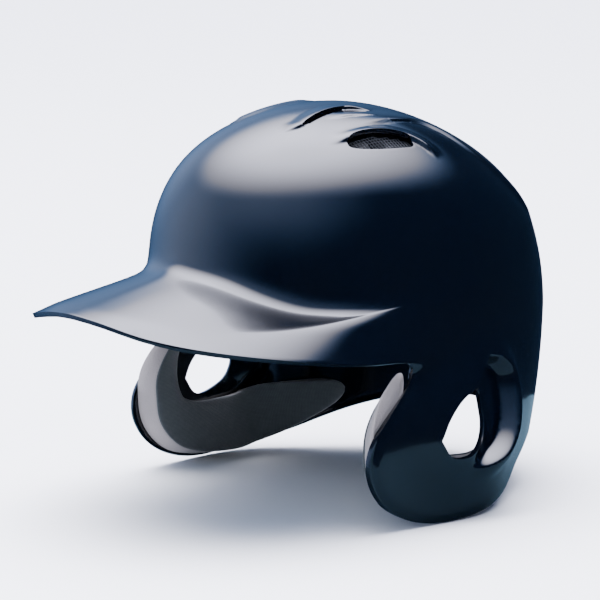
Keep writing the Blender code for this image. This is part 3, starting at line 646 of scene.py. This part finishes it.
# %% Crown vents
SIDE_VENT = [(0.0498, -0.0430), (0.0483, -0.0360), (0.0484, -0.0280), (0.0503, -0.0170), (0.0545, -0.0070),
             (0.0590, -0.0042), (0.0622, -0.0070), (0.0622, -0.0170), (0.0605, -0.0280), (0.0572, -0.0380),
             (0.0535, -0.0435)]
FRONT_VENT = [(0.0262, -0.0553), (0.0237, -0.0480), (0.0213, -0.0380), (0.0203, -0.0280), (0.0212, -0.0195),
              (0.0225, -0.0260), (0.0238, -0.0360), (0.0256, -0.0470)]
REAR_VENT = [(0.0520, 0.0875), (0.0400, 0.0912), (0.0280, 0.0995), (0.0285, 0.1010), (0.0400, 0.0958),
             (0.0520, 0.0890)]
for label, points in (("front", FRONT_VENT), ("side", SIDE_VENT), ("rear", REAR_VENT)):
    outline = curve_through(points + points[:1], 120)[:-1]
    centre = sum((Vector(p) for p in points), Vector((0.0, 0.0))) / len(points)
    for side in (1.0, -1.0):
        flat = [((p.x - centre.x) * side, p.y - centre.y) for p in outline]
        origin = Vector((side * centre.x, centre.y, 0.190 if label != "rear" else 0.160))
        axis_x = Vector((1.0, 0.0, 0.0))
        taken = open_hole(shell, [(p[0], p[1]) for p in flat], origin, axis_x, Vector((0.0, 1.0, 0.0)))
    print(label, "vents took", taken, "faces each")

# %% Wall thickness and rolled rims
HIDDEN = shell.vertex_groups.new(name="hidden_inside")
finish_with(shell, "SOLIDIFY", thickness=SHELL_WALL - 0.0002, offset=-1.0, use_even_offset=False,
            shell_vertex_group=HIDDEN.name)
inner = np.array([any(g.weight > 0.5 for g in vert.groups) for vert in shell.data.vertices])
pairs = np.array([tuple(edge.vertices) for edge in shell.data.edges])
kept = ~inner
for _ in range(3):
    touched = kept[pairs].any(axis=1)
    kept[pairs[touched].ravel()] = True
places, _ = read_points(shell)
kept |= places[:, 2] < 0.112
HIDDEN.remove([int(i) for i in np.flatnonzero(kept)])
share = 1.0 - 0.86 * 2 * np.count_nonzero(~kept) / triangles(shell)
print("hidden points:", np.count_nonzero(~kept), "share of faces to keep:", round(share, 3))
finish_with(shell, "DECIMATE", ratio=share, vertex_group=HIDDEN.name)
shell.vertex_groups.clear()
finish_with(shell, "BEVEL", width=0.0008, segments=3, limit_method="ANGLE", angle_limit=math.radians(50))
smooth_faces(shell, 42)
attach(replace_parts(shell, "outer_shell"), "helmet")
print("shell:", triangles(shell), "triangles")

# %% [markdown]
# ## Net in the vents
#
# Behind each slot sits a fine black nylon net that keeps dust and insects out. A real net has holes,
# so it is made as one: a small curved plate of even cells is laid on the inside of the shell, and
# the Wireframe modifier keeps only its threads. Six plates come from three, by mirroring.

# %% Vent nets
skin_mesh = bmesh.new()
skin_mesh.from_mesh(shell.data)
SHELL_SKIN = BVHTree.FromBMesh(skin_mesh)
skin_mesh.free()


def copy_across(thing, name):
    """The same piece on the other side, with a mesh of its own."""
    only(thing)
    bpy.ops.object.duplicate()
    twin = bpy.context.object
    twin.name = name
    twin.data.name = name
    mesh = bmesh.new()
    mesh.from_mesh(twin.data)
    bmesh.ops.scale(mesh, vec=(-1.0, 1.0, 1.0), verts=mesh.verts)
    bmesh.ops.reverse_faces(mesh, faces=mesh.faces)
    mesh.to_mesh(twin.data)
    mesh.free()
    return twin


def vent_net(label, columns, rows):
    """Threads laid where the frame has its plate, four corners of the plate's box apart."""
    low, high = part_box(label + "_mesh_left")
    plate_mesh = bmesh.new()
    plate_mesh.from_mesh(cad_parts[label + "_mesh_left"].data)
    plate = BVHTree.FromBMesh(plate_mesh)
    plate_mesh.free()

    def where(i, j):
        x = low.x + (high.x - low.x) * i / columns
        y = low.y + (high.y - low.y) * j / rows
        hit = plate.ray_cast(Vector((x, y, high.z + 0.01)), Vector((0.0, 0.0, -1.0)))[0]
        return hit or Vector((x, y, -1.0))

    net = lay_grid(label + "_net_left", columns, rows, where, keep=lambda i, j: where(i, j).z > 0.0)
    face_away(net, HEAD_CENTRE)
    finish_with(net, "WIREFRAME", thickness=0.00050, use_even_offset=False)
    return net


NETS = []
for label, columns, rows in (("front_vent", 7, 20), ("side_vent", 8, 22), ("rear_vent", 16, 11)):
    net = vent_net(label, columns, rows)
    twin = copy_across(net, label + "_net_right")
    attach(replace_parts(net, label + "_mesh_left"), "helmet")
    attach(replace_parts(twin, label + "_mesh_right"), "helmet")
    NETS += [net, twin]
    print(net.name, triangles(net), "triangles")

# %% [markdown]
# ## The impact liner
#
# Inside the shell sits a thick bowl of moulded bead foam. It is laid as a sheet at the liner's depth
# under the head form, given its thickness, and bored for the air slots with Booleans, which is safe
# here because a matt black foam hides the cut's odd faces.

# %% Liner bowl
LINER_EDGE = [(0, 0.111), (40, 0.107), (60, 0.101), (80, 0.096), (100, 0.092), (130, 0.076), (180, 0.062)]
LINER_DEPTH = SHELL_WALL + MESH_THICK + 2 * FACET_GAP


def liner_point(i, j):
    theta = math.pi * i / 40
    edge = w_at(theta, through(LINER_EDGE, math.degrees(theta)))
    share = 0.10 + 0.90 * j / 24
    point = form_inside(theta, edge * share, LINER_DEPTH)
    if i in (0, 40):
        point.x = 0.0
    return point


def liner_cap_point(i, j):
    a = math.sqrt(2.0) * math.sin(math.radians(4.5 * i))
    b = math.sqrt(2.0) * math.sin(math.radians(4.5 * (j - 10)))
    u, v = a * math.sqrt(1.0 - b * b / 2), b * math.sqrt(1.0 - a * a / 2)
    theta = math.atan2(u, -v)
    edge = w_at(theta, through(LINER_EDGE, math.degrees(theta)))
    point = form_inside(theta, min(math.hypot(u, v), 1.0) * edge * 0.10, LINER_DEPTH)
    if i == 0:
        point.x = 0.0
    return point


liner = lay_grid("impact_foam", 40, 24, liner_point)
liner_cap = lay_grid("impact_foam_cap", 10, 20, liner_cap_point)
only(liner, liner_cap)
bpy.ops.object.join()
face_away(liner, HEAD_CENTRE)
finish_with(liner, "MIRROR", merge_threshold=0.00005)
finish_with(liner, "SOLIDIFY", thickness=LINER_THICK, offset=-1.0, use_even_offset=True)
finish_with(liner, "BEVEL", width=0.0025, segments=3, limit_method="ANGLE", angle_limit=math.radians(50))
for label in ("front_vent", "side_vent", "rear_vent"):
    for suffix in ("left", "right"):
        low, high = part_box(label + "_mesh_" + suffix)
        middle = (low + high) / 2
        outward = (middle - HEAD_CENTRE).normalized()
        size = high - low
        bpy.ops.object.select_all(action="DESELECT")
        bpy.ops.mesh.primitive_cylinder_add(vertices=32, radius=0.5, depth=0.060, location=middle,
                                            rotation=outward.to_track_quat("Z", "Y").to_euler())
        borer = bpy.context.object
        borer.scale = (0.62 * min(size.x, 0.024), 0.72 * size.y, 1.0)
        if label == "rear_vent":
            borer.scale = (0.66 * size.x, 0.62 * min(size.y, 0.020), 1.0)
        finish_with(liner, "BOOLEAN", operation="DIFFERENCE", solver="EXACT", object=borer)
        bpy.data.objects.remove(borer, do_unlink=True)
smooth_faces(liner, 38)
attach(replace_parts(liner, "impact_liner"), "helmet")
print("liner:", triangles(liner), "triangles")

# %% [markdown]
# ## Stuffed pads
#
# The pads are cloth over soft foam, so they should look filled. Each starts from the frame's own
# solid, a little shrunk, is remeshed into even cells, and is blown up by a short cloth simulation
# with pressure inside. The swelling is capped, so a pad never grows through the liner behind it.

# %% Blow up a pad
def pad_from(node, name, shrink, voxel, cap, pressure=4.0):
    """A filled pad from a frame node: shrunk, remeshed, blown up and capped."""
    only(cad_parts[node])
    bpy.ops.object.duplicate()
    pad = bpy.context.object
    pad.name = name
    pad.data = pad.data.copy()
    pad.data.name = name
    pad.parent = None
    for key in list(pad.keys()):
        if key.startswith("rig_"):
            del pad[key]
    mesh = bmesh.new()
    mesh.from_mesh(pad.data)
    bmesh.ops.remove_doubles(mesh, verts=mesh.verts, dist=0.00002)
    mesh.normal_update()
    for vert in mesh.verts:
        vert.co -= vert.normal * shrink
    mesh.to_mesh(pad.data)
    mesh.free()
    finish_with(pad, "REMESH", mode="VOXEL", voxel_size=voxel)
    finish_with(pad, "CORRECTIVE_SMOOTH", factor=0.6, iterations=6, smooth_type="SIMPLE", use_only_smooth=True)
    rest = [v.co.copy() for v in pad.data.vertices]
    only(pad)
    cloth = pad.modifiers.new("cloth", "CLOTH")
    cloth.settings.use_pressure = True
    cloth.settings.uniform_pressure_force = pressure
    cloth.settings.effector_weights.gravity = 0.0
    cloth.settings.quality = 5
    for step in range(1, 16):
        bpy.context.scene.frame_set(step)
    bpy.ops.object.modifier_apply(modifier=cloth.name)
    bpy.context.scene.frame_set(1)
    moved = 0.0
    for vert, start in zip(pad.data.vertices, rest):
        offset = vert.co - start
        if offset.length > cap:
            vert.co = start + offset.normalized() * cap
        moved = max(moved, (vert.co - start).length)
    finish_with(pad, "SUBSURF", levels=1, render_levels=1)
    smooth_faces(pad, 180)
    print(name, triangles(pad), "triangles, moved at most", round(moved * 1000, 2), "mm")
    return pad


# %% Head pads
HEAD_PADS = []
for node in ("forehead_pad", "temple_pad_left", "nape_pad", "crown_pad"):
    pad = pad_from(node, node.replace("_pad", "_cushion"), 0.0007, 0.0016, 0.0012)
    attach(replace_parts(pad, node), node + "_body")
    HEAD_PADS.append(pad)
temple_twin = copy_across(HEAD_PADS[1], "temple_cushion_right")
for key in [k for k in temple_twin.keys() if k.startswith("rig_")]:
    del temple_twin[key]
temple_twin.parent = None
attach(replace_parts(temple_twin, "temple_pad_right"), "temple_pad_right_body")
HEAD_PADS.append(temple_twin)

# %% [markdown]
# ## Ear pads
#
# The pad in each flap is a J of pale foam with a grey cloth face. The foam is die-cut, so its side
# is flat and its edge clean, and the cloth is bonded on and rolls a little over that edge. The foam
# is laid along the same spine as the frame's solid. The cloth is a thin crowned skin on top of it.

# %% The J-shaped spine
EAR_PAD = [((-0.0440, 0.0840), 0.0034), ((-0.0502, 0.0752), 0.0056), ((-0.0560, 0.0660), 0.0078),
           ((-0.0592, 0.0555), 0.0092), ((-0.0592, 0.0430), 0.0100), ((-0.0550, 0.0310), 0.0120),
           ((-0.0440, 0.0218), 0.0138), ((-0.0300, 0.0176), 0.0142), ((-0.0150, 0.0162), 0.0145),
           ((0.0000, 0.0165), 0.0145), ((0.0150, 0.0195), 0.0145), ((0.0300, 0.0232), 0.0140),
           ((0.0480, 0.0290), 0.0120), ((0.0680, 0.0355), 0.0088)]
EAR_SPINE = list(enumerate(spot for spot, _ in EAR_PAD))
EAR_WIDTH = list(enumerate(width for _, width in EAR_PAD))
EAR_SET_BACK = [(0.0, 0.0030), (0.15, 0.0050), (0.38, 0.0047), (0.55, 0.0034), (0.80, 0.0018), (1.0, 0.0012)]
EAR_STUFFING = [(0.0, 0.20), (0.08, 0.36), (0.17, 0.66), (0.28, 0.92), (0.40, 1.0), (1.0, 1.0)]
EAR_FOAM_DEPTH = SHELL_WALL + FACET_GAP + HOOK_THICK + FACET_GAP
EAR_FACE_DEPTH = EAR_FOAM_DEPTH + EAR_FOAM_THICK


def ear_pad_point(along, across, depth, lean):
    """A point of the pad: along its spine, across it -1 to 1; lean 1 is where the outer side is set back."""
    share = 0.5 * along + 0.25 * (1.0 - math.cos(math.pi * along))
    at = share * (len(EAR_PAD) - 1)
    spine = through(EAR_SPINE, at)
    tangent = (through(EAR_SPINE, at + 0.05) - through(EAR_SPINE, at - 0.05)).normalized()
    taper = math.sqrt(max(1.0 - abs(2.0 * share - 1.0) ** 14, 0.0))
    width = through(EAR_WIDTH, at)
    low = -width + through(EAR_SET_BACK, share) * lean
    offset = (low + (width - low) * (across + 1.0) / 2.0) * taper
    y, z = spine.x - tangent.y * offset, spine.y + tangent.x * offset
    theta = theta_at(y)
    if depth > EAR_FOAM_DEPTH:
        depth = EAR_FOAM_DEPTH + (depth - EAR_FOAM_DEPTH) * through(EAR_STUFFING, share)
    return form_inside(theta, w_at(theta, z), depth)


# %% Foam body and cloth face
PAD_ALONG = 110
RIM_DEPTH = SHELL_WALL + 0.0005
HALF_DEPTH = (RIM_DEPTH + EAR_FACE_DEPTH) / 2
FOAM_OUTER = [(0.00, EAR_FOAM_DEPTH, 0.0), (0.72, EAR_FOAM_DEPTH, 0.0), (0.80, RIM_DEPTH, 0.0), (0.96, RIM_DEPTH, 0.0),
              (1.00, RIM_DEPTH + 0.0005, 0.05), (1.00, HALF_DEPTH, 0.50), (1.00, EAR_FACE_DEPTH - 0.0010, 0.93),
              (0.985, EAR_FACE_DEPTH - 0.0003, 1.0), (0.94, EAR_FACE_DEPTH, 1.0), (0.50, EAR_FACE_DEPTH, 1.0),
              (0.00, EAR_FACE_DEPTH, 1.0)]
CLOTH_BACK = EAR_FACE_DEPTH + 0.0001
CLOTH_OUTER = [(0.00, CLOTH_BACK, 1.0), (0.90, CLOTH_BACK, 1.0), (1.005, CLOTH_BACK + 0.0003, 1.0),
               (1.01, CLOTH_BACK + 0.0008, 1.0), (0.97, CLOTH_BACK + 0.0013, 1.0), (0.88, CLOTH_BACK + 0.0017, 1.0),
               (0.70, CLOTH_BACK + 0.0021, 1.0), (0.40, CLOTH_BACK + 0.0025, 1.0), (0.00, CLOTH_BACK + 0.0027, 1.0)]


def pad_tube(name, half):
    """A closed pad: half its section, mirrored, carried along the spine."""
    section = half + [(-across, depth, lean) for across, depth, lean in reversed(half[1:-1])]
    shallow = half[3][1] if half is FOAM_OUTER else CLOTH_BACK + 0.0013

    def where(i, j):
        across, depth, lean = section[j % len(section)]
        along = i / PAD_ALONG
        flatten = 1.0 - min(min(along, 1.0 - along) * 22.0, 1.0)
        if half is FOAM_OUTER and depth == EAR_FOAM_DEPTH or depth > CLOTH_BACK + 0.0013:
            depth += (shallow - depth) * flatten
        return ear_pad_point(along, across, depth, lean)

    layer = lay_grid(name, PAD_ALONG, len(section), where)
    mesh = bmesh.new()
    mesh.from_mesh(layer.data)
    bmesh.ops.remove_doubles(mesh, verts=mesh.verts, dist=0.00002)
    bmesh.ops.recalc_face_normals(mesh, faces=mesh.faces)
    print(name, "open edges:", sum(e.is_boundary for e in mesh.edges), "length", mesh.calc_volume() * 1e9)
    mesh.to_mesh(layer.data)
    mesh.free()
    return layer


foam = pad_tube("ear_foam_left", FOAM_OUTER)
smooth_faces(foam, 40)
cloth_face = pad_tube("ear_cloth_left", CLOTH_OUTER)
smooth_faces(cloth_face, 70)
for layer, node in ((foam, "ear_pad_foam"), (cloth_face, "ear_pad_cover")):
    twin = copy_across(layer, layer.name.replace("left", "right"))
    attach(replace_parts(layer, node + "_left"), "ear_pad_left_body")
    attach(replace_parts(twin, node + "_right"), "ear_pad_right_body")
    print(layer.name, triangles(layer), "triangles")
EAR_FOAMS = [bpy.data.objects["ear_foam_left"], bpy.data.objects["ear_foam_right"]]
EAR_CLOTHS = [bpy.data.objects["ear_cloth_left"], bpy.data.objects["ear_cloth_right"]]

# %% [markdown]
# ## Finishes
#
# Each finish is a Principled shader fed by a few small effects. Two effects serve several finishes:
# a node group gives fine unevenness with dust in it, and one function builds a knitted weave.

# %% Node helpers
def new_material(name, **values):
    """A material whose constant numbers and colours sit on the shader's own sockets."""
    material = bpy.data.materials.new(name)
    material.use_nodes = True
    shader = material.node_tree.nodes["Principled BSDF"]
    for socket, value in values.items():
        shader.inputs[socket.replace("_", " ")].default_value = value
    return material, material.node_tree, shader


def wear(thing, material):
    thing.data.materials.clear()
    thing.data.materials.append(material)


def link(tree, source, target):
    tree.links.new(source, target)


# %% Effect: uneven surface with dust
def make_uneven_group():
    group = bpy.data.node_groups.new("uneven_surface", "ShaderNodeTree")
    face = group.interface
    face.new_socket("Scale", in_out="INPUT", socket_type="NodeSocketFloat").default_value = 60.0
    face.new_socket("Low", in_out="INPUT", socket_type="NodeSocketFloat").default_value = 0.1
    face.new_socket("High", in_out="INPUT", socket_type="NodeSocketFloat").default_value = 0.2
    face.new_socket("Mask", in_out="OUTPUT", socket_type="NodeSocketFloat")
    face.new_socket("Value", in_out="OUTPUT", socket_type="NodeSocketFloat")
    entry, leave = group.nodes.new("NodeGroupInput"), group.nodes.new("NodeGroupOutput")
    place = group.nodes.new("ShaderNodeTexCoord")
    noise = group.nodes.new("ShaderNodeTexNoise")
    noise.inputs["Detail"].default_value = 6.0
    noise.inputs["Roughness"].default_value = 0.6
    spread = group.nodes.new("ShaderNodeMapRange")
    spread.interpolation_type = "SMOOTHSTEP"
    spread.inputs["From Min"].default_value = 0.35
    spread.inputs["From Max"].default_value = 0.70
    group.links.new(place.outputs["Object"], noise.inputs["Vector"])
    group.links.new(entry.outputs["Scale"], noise.inputs["Scale"])
    group.links.new(noise.outputs["Fac"], spread.inputs["Value"])
    group.links.new(entry.outputs["Low"], spread.inputs["To Min"])
    group.links.new(entry.outputs["High"], spread.inputs["To Max"])
    group.links.new(noise.outputs["Fac"], leave.inputs["Mask"])
    group.links.new(spread.outputs["Result"], leave.inputs["Value"])
    return group


UNEVEN = make_uneven_group()


def uneven(tree, scale, low, high):
    node = tree.nodes.new("ShaderNodeGroup")
    node.node_tree = UNEVEN
    node.inputs["Scale"].default_value = scale
    node.inputs["Low"].default_value = low
    node.inputs["High"].default_value = high
    return node


def two_tones(tree, mask, first, second, target):
    mix = tree.nodes.new("ShaderNodeMix")
    mix.data_type = "RGBA"
    mix.inputs["A"].default_value = (*first, 1.0)
    mix.inputs["B"].default_value = (*second, 1.0)
    tree.links.new(mask, mix.inputs["Factor"])
    tree.links.new(mix.outputs["Result"], target)


def add_bump(tree, height, shader, strength, distance):
    bump = tree.nodes.new("ShaderNodeBump")
    bump.inputs["Strength"].default_value = strength
    bump.inputs["Distance"].default_value = distance
    tree.links.new(height, bump.inputs["Height"])
    tree.links.new(bump.outputs["Normal"], shader.inputs["Normal"])


# %% Gloss navy plastic
navy, tree, shader = new_material("gloss_navy", Coat_Weight=0.35, Coat_Roughness=0.03, IOR=1.5)
film = uneven(tree, 35.0, 0.10, 0.17)
link(tree, film.outputs["Value"], shader.inputs["Roughness"])
two_tones(tree, film.outputs["Mask"], (0.0005, 0.0012, 0.0032), (0.0007, 0.0016, 0.0041), shader.inputs["Base Color"])
peel = uneven(tree, 900.0, 0.0, 1.0)
add_bump(tree, peel.outputs["Value"], shader, 0.04, 0.00004)
wear(shell, navy)

# %% Pale die-cut foam
foam_grey, tree, shader = new_material("pale_foam", Sheen_Weight=0.15, Sheen_Roughness=0.6, IOR=1.4)
cells = tree.nodes.new("ShaderNodeTexVoronoi")
cells.inputs["Scale"].default_value = 1100.0
place = tree.nodes.new("ShaderNodeTexCoord")
link(tree, place.outputs["Object"], cells.inputs["Vector"])
soft = uneven(tree, 120.0, 0.78, 0.92)
link(tree, soft.outputs["Value"], shader.inputs["Roughness"])
two_tones(tree, soft.outputs["Mask"], (0.195, 0.179, 0.176), (0.240, 0.223, 0.220), shader.inputs["Base Color"])
add_bump(tree, cells.outputs["Distance"], shader, 0.35, 0.0004)
for thing in EAR_FOAMS:
    wear(thing, foam_grey)


# %% Knitted cloth, in two colours
def knitted(name, dark, light, scale):
    """Fine knit: two crossed waves make the loops, and noise makes them uneven."""
    cloth, tree, shader = new_material(name, Sheen_Weight=0.35, Sheen_Roughness=0.5, IOR=1.4)
    place = tree.nodes.new("ShaderNodeTexCoord")
    loops = []
    for direction in ("Y", "Z"):
        wave = tree.nodes.new("ShaderNodeTexWave")
        wave.bands_direction = direction
        wave.inputs["Scale"].default_value = scale
        wave.inputs["Distortion"].default_value = 1.2
        wave.inputs["Detail"].default_value = 2.0
        link(tree, place.outputs["Object"], wave.inputs["Vector"])
        loops.append(wave)
    cross = tree.nodes.new("ShaderNodeMath")
    cross.operation = "MULTIPLY"
    link(tree, loops[0].outputs["Fac"], cross.inputs[0])
    link(tree, loops[1].outputs["Fac"], cross.inputs[1])
    fuzz = uneven(tree, 260.0, 0.82, 0.97)
    link(tree, fuzz.outputs["Value"], shader.inputs["Roughness"])
    two_tones(tree, cross.outputs["Value"], dark, light, shader.inputs["Base Color"])
    add_bump(tree, cross.outputs["Value"], shader, 0.5, 0.00025)
    return cloth


ear_cloth_grey = knitted("grey_knit", (0.030, 0.038, 0.041), (0.056, 0.068, 0.072), 420.0)
head_cloth_black = knitted("black_knit", (0.008, 0.009, 0.010), (0.022, 0.023, 0.026), 420.0)
for thing in EAR_CLOTHS:
    wear(thing, ear_cloth_grey)
for thing in HEAD_PADS:
    wear(thing, head_cloth_black)

# %% Bead foam, nylon net and hook tape
bead_foam, tree, shader = new_material("bead_foam", IOR=1.45)
beads = tree.nodes.new("ShaderNodeTexVoronoi")
beads.inputs["Scale"].default_value = 330.0
place = tree.nodes.new("ShaderNodeTexCoord")
link(tree, place.outputs["Object"], beads.inputs["Vector"])
skin = uneven(tree, 150.0, 0.55, 0.80)
link(tree, skin.outputs["Value"], shader.inputs["Roughness"])
two_tones(tree, beads.outputs["Distance"], (0.014, 0.015, 0.017), (0.007, 0.007, 0.008), shader.inputs["Base Color"])
add_bump(tree, beads.outputs["Distance"], shader, 0.6, -0.0009)
wear(liner, bead_foam)

nylon, tree, shader = new_material("nylon_net", IOR=1.5)
threads = uneven(tree, 500.0, 0.30, 0.55)
link(tree, threads.outputs["Value"], shader.inputs["Roughness"])
two_tones(tree, threads.outputs["Mask"], (0.035, 0.038, 0.044), (0.085, 0.090, 0.100), shader.inputs["Base Color"])
for net in NETS:
    wear(net, nylon)

hook_tape, tree, shader = new_material("hook_tape", IOR=1.45)
hooks = tree.nodes.new("ShaderNodeTexVoronoi")
hooks.inputs["Scale"].default_value = 800.0
hooks.inputs["Randomness"].default_value = 0.2
place = tree.nodes.new("ShaderNodeTexCoord")
link(tree, place.outputs["Object"], hooks.inputs["Vector"])
tape = uneven(tree, 300.0, 0.60, 0.85)
link(tree, tape.outputs["Value"], shader.inputs["Roughness"])
two_tones(tree, hooks.outputs["Distance"], (0.030, 0.030, 0.032), (0.008, 0.008, 0.009), shader.inputs["Base Color"])
add_bump(tree, hooks.outputs["Distance"], shader, 0.8, -0.0008)
for name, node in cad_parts.items():
    if "hook" in name:
        wear(node, hook_tape)
print("materials:", sorted(m.name for m in bpy.data.materials))

# %% [markdown]
# ## Floor and studio light
#
# Gloss shows the room more than itself, so the room is designed first: one broad soft glow overhead,
# leaning to the far side, three faint fills and darkness elsewhere, so the side of the shell falls
# away to black. A dim teal sheet under the helmet, seen only in reflections, is a painted reflection
# that gives the flaps their low sheen.

# %% Floor
bpy.ops.object.select_all(action="DESELECT")
bpy.ops.mesh.primitive_plane_add(size=16.0, location=(0.0, 0.0, SHELL_LOW.z - 0.0002))
floor = bpy.context.object
floor.name = "floor"
floor.visible_glossy = False
pale, tree, shader = new_material("pale_floor", Base_Color=(0.95, 0.95, 0.945, 1.0), Roughness=0.9)
wear(floor, pale)
bpy.ops.mesh.primitive_circle_add(vertices=64, radius=0.27, fill_type="NGON",
                                  location=(0.0, 0.0, SHELL_LOW.z - 0.0001))
sheet = bpy.context.object
sheet.name = "reflected_sheet"
sheet.visible_camera = False
sheet.visible_diffuse = False
sheet.visible_shadow = False
# Painted reflection: this dim teal colour is seen only in glossy rays, as the low sheen on the flaps.
painted_reflection, tree, shader = new_material("painted_reflection_sheet", Base_Color=(0.030, 0.068, 0.090, 1.0), Roughness=0.9)
wear(sheet, painted_reflection)


# %% Soft glows all round
world = bpy.data.worlds.new("studio")
bpy.context.scene.world = world
world.use_nodes = True
tree = world.node_tree
ground = tree.nodes["Background"]
direction = tree.nodes.new("ShaderNodeTexCoord")


def glow(azimuth, elevation, inner, outer, strength):
    """A soft round glow: full within the inner angle of its middle, gone at the outer one."""
    a, e = math.radians(azimuth), math.radians(elevation)
    facing = tree.nodes.new("ShaderNodeVectorMath")
    facing.operation = "DOT_PRODUCT"
    facing.inputs[1].default_value = (math.sin(a) * math.cos(e), -math.cos(a) * math.cos(e), math.sin(e))
    link(tree, direction.outputs["Generated"], facing.inputs[0])
    angle = tree.nodes.new("ShaderNodeMath")
    angle.operation = "ARCCOSINE"
    link(tree, facing.outputs["Value"], angle.inputs[0])
    fall = tree.nodes.new("ShaderNodeMapRange")
    fall.interpolation_type = "SMOOTHSTEP"
    fall.inputs["From Min"].default_value = math.radians(inner)
    fall.inputs["From Max"].default_value = math.radians(outer)
    fall.inputs["To Min"].default_value = strength
    fall.inputs["To Max"].default_value = 0.0
    link(tree, angle.outputs["Value"], fall.inputs["Value"])
    return fall.outputs["Result"]


GLOWS = [(-112, 77, 9, 53, 17.0), (-50, 18, 5, 78, 1.9), (30, 52, 5, 50, 1.3), (-112, 24, 5, 38, 0.9)]
total = None
for numbers in GLOWS:
    part = glow(*numbers)
    if total is None:
        total = part
    else:
        add = tree.nodes.new("ShaderNodeMath")
        add.operation = "ADD"
        link(tree, total, add.inputs[0])
        link(tree, part, add.inputs[1])
        total = add.outputs["Value"]
base = tree.nodes.new("ShaderNodeMath")
base.operation = "ADD"
base.inputs[1].default_value = 0.06
link(tree, total, base.inputs[0])
link(tree, base.outputs["Value"], ground.inputs["Strength"])
tint = tree.nodes.new("ShaderNodeMapRange")
tint.inputs["From Max"].default_value = 4.0
link(tree, total, tint.inputs["Value"])
two_tones(tree, tint.outputs["Result"], (0.20, 0.46, 1.0), (0.83, 0.84, 1.0), ground.inputs["Color"])


# %% Softboxes for cloth, foam and floor
def softbox(name, place, size, power):
    bpy.ops.object.light_add(type="AREA", location=place)
    lamp = bpy.context.object
    lamp.name = name
    lamp.data.shape = "DISK"
    lamp.data.size = size
    lamp.data.energy = power
    lamp.rotation_euler = (Vector((0.0, 0.0, 0.08)) - Vector(place)).to_track_quat("-Z", "Y").to_euler()
    lamp.visible_glossy = False
    return lamp


softbox("top_softbox", (-0.5, -0.4, 2.6), 2.6, 120.0)
softbox("front_softbox", (1.4, -2.0, 1.2), 1.8, 22.0)

# %% Camera
AZIMUTH, ELEVATION, DISTANCE = math.radians(49), math.radians(13.4), 1.600
back = Vector((math.sin(AZIMUTH) * math.cos(ELEVATION), -math.cos(AZIMUTH) * math.cos(ELEVATION),
               math.sin(ELEVATION)))
right = Vector((math.cos(AZIMUTH), math.sin(AZIMUTH), 0.0))
aim = back.cross(right) * 0.1036 - right * 0.0262
place = back * DISTANCE
bpy.ops.object.camera_add(location=place, rotation=(place - aim).to_track_quat("Z", "Y").to_euler())
camera = bpy.context.object
camera.data.angle = 2 * math.atan(0.171 / DISTANCE)
camera.data.clip_start = 0.05
bpy.context.scene.camera = camera
print("camera", [round(v, 3) for v in camera.location], "angle", round(math.degrees(camera.data.angle), 2))
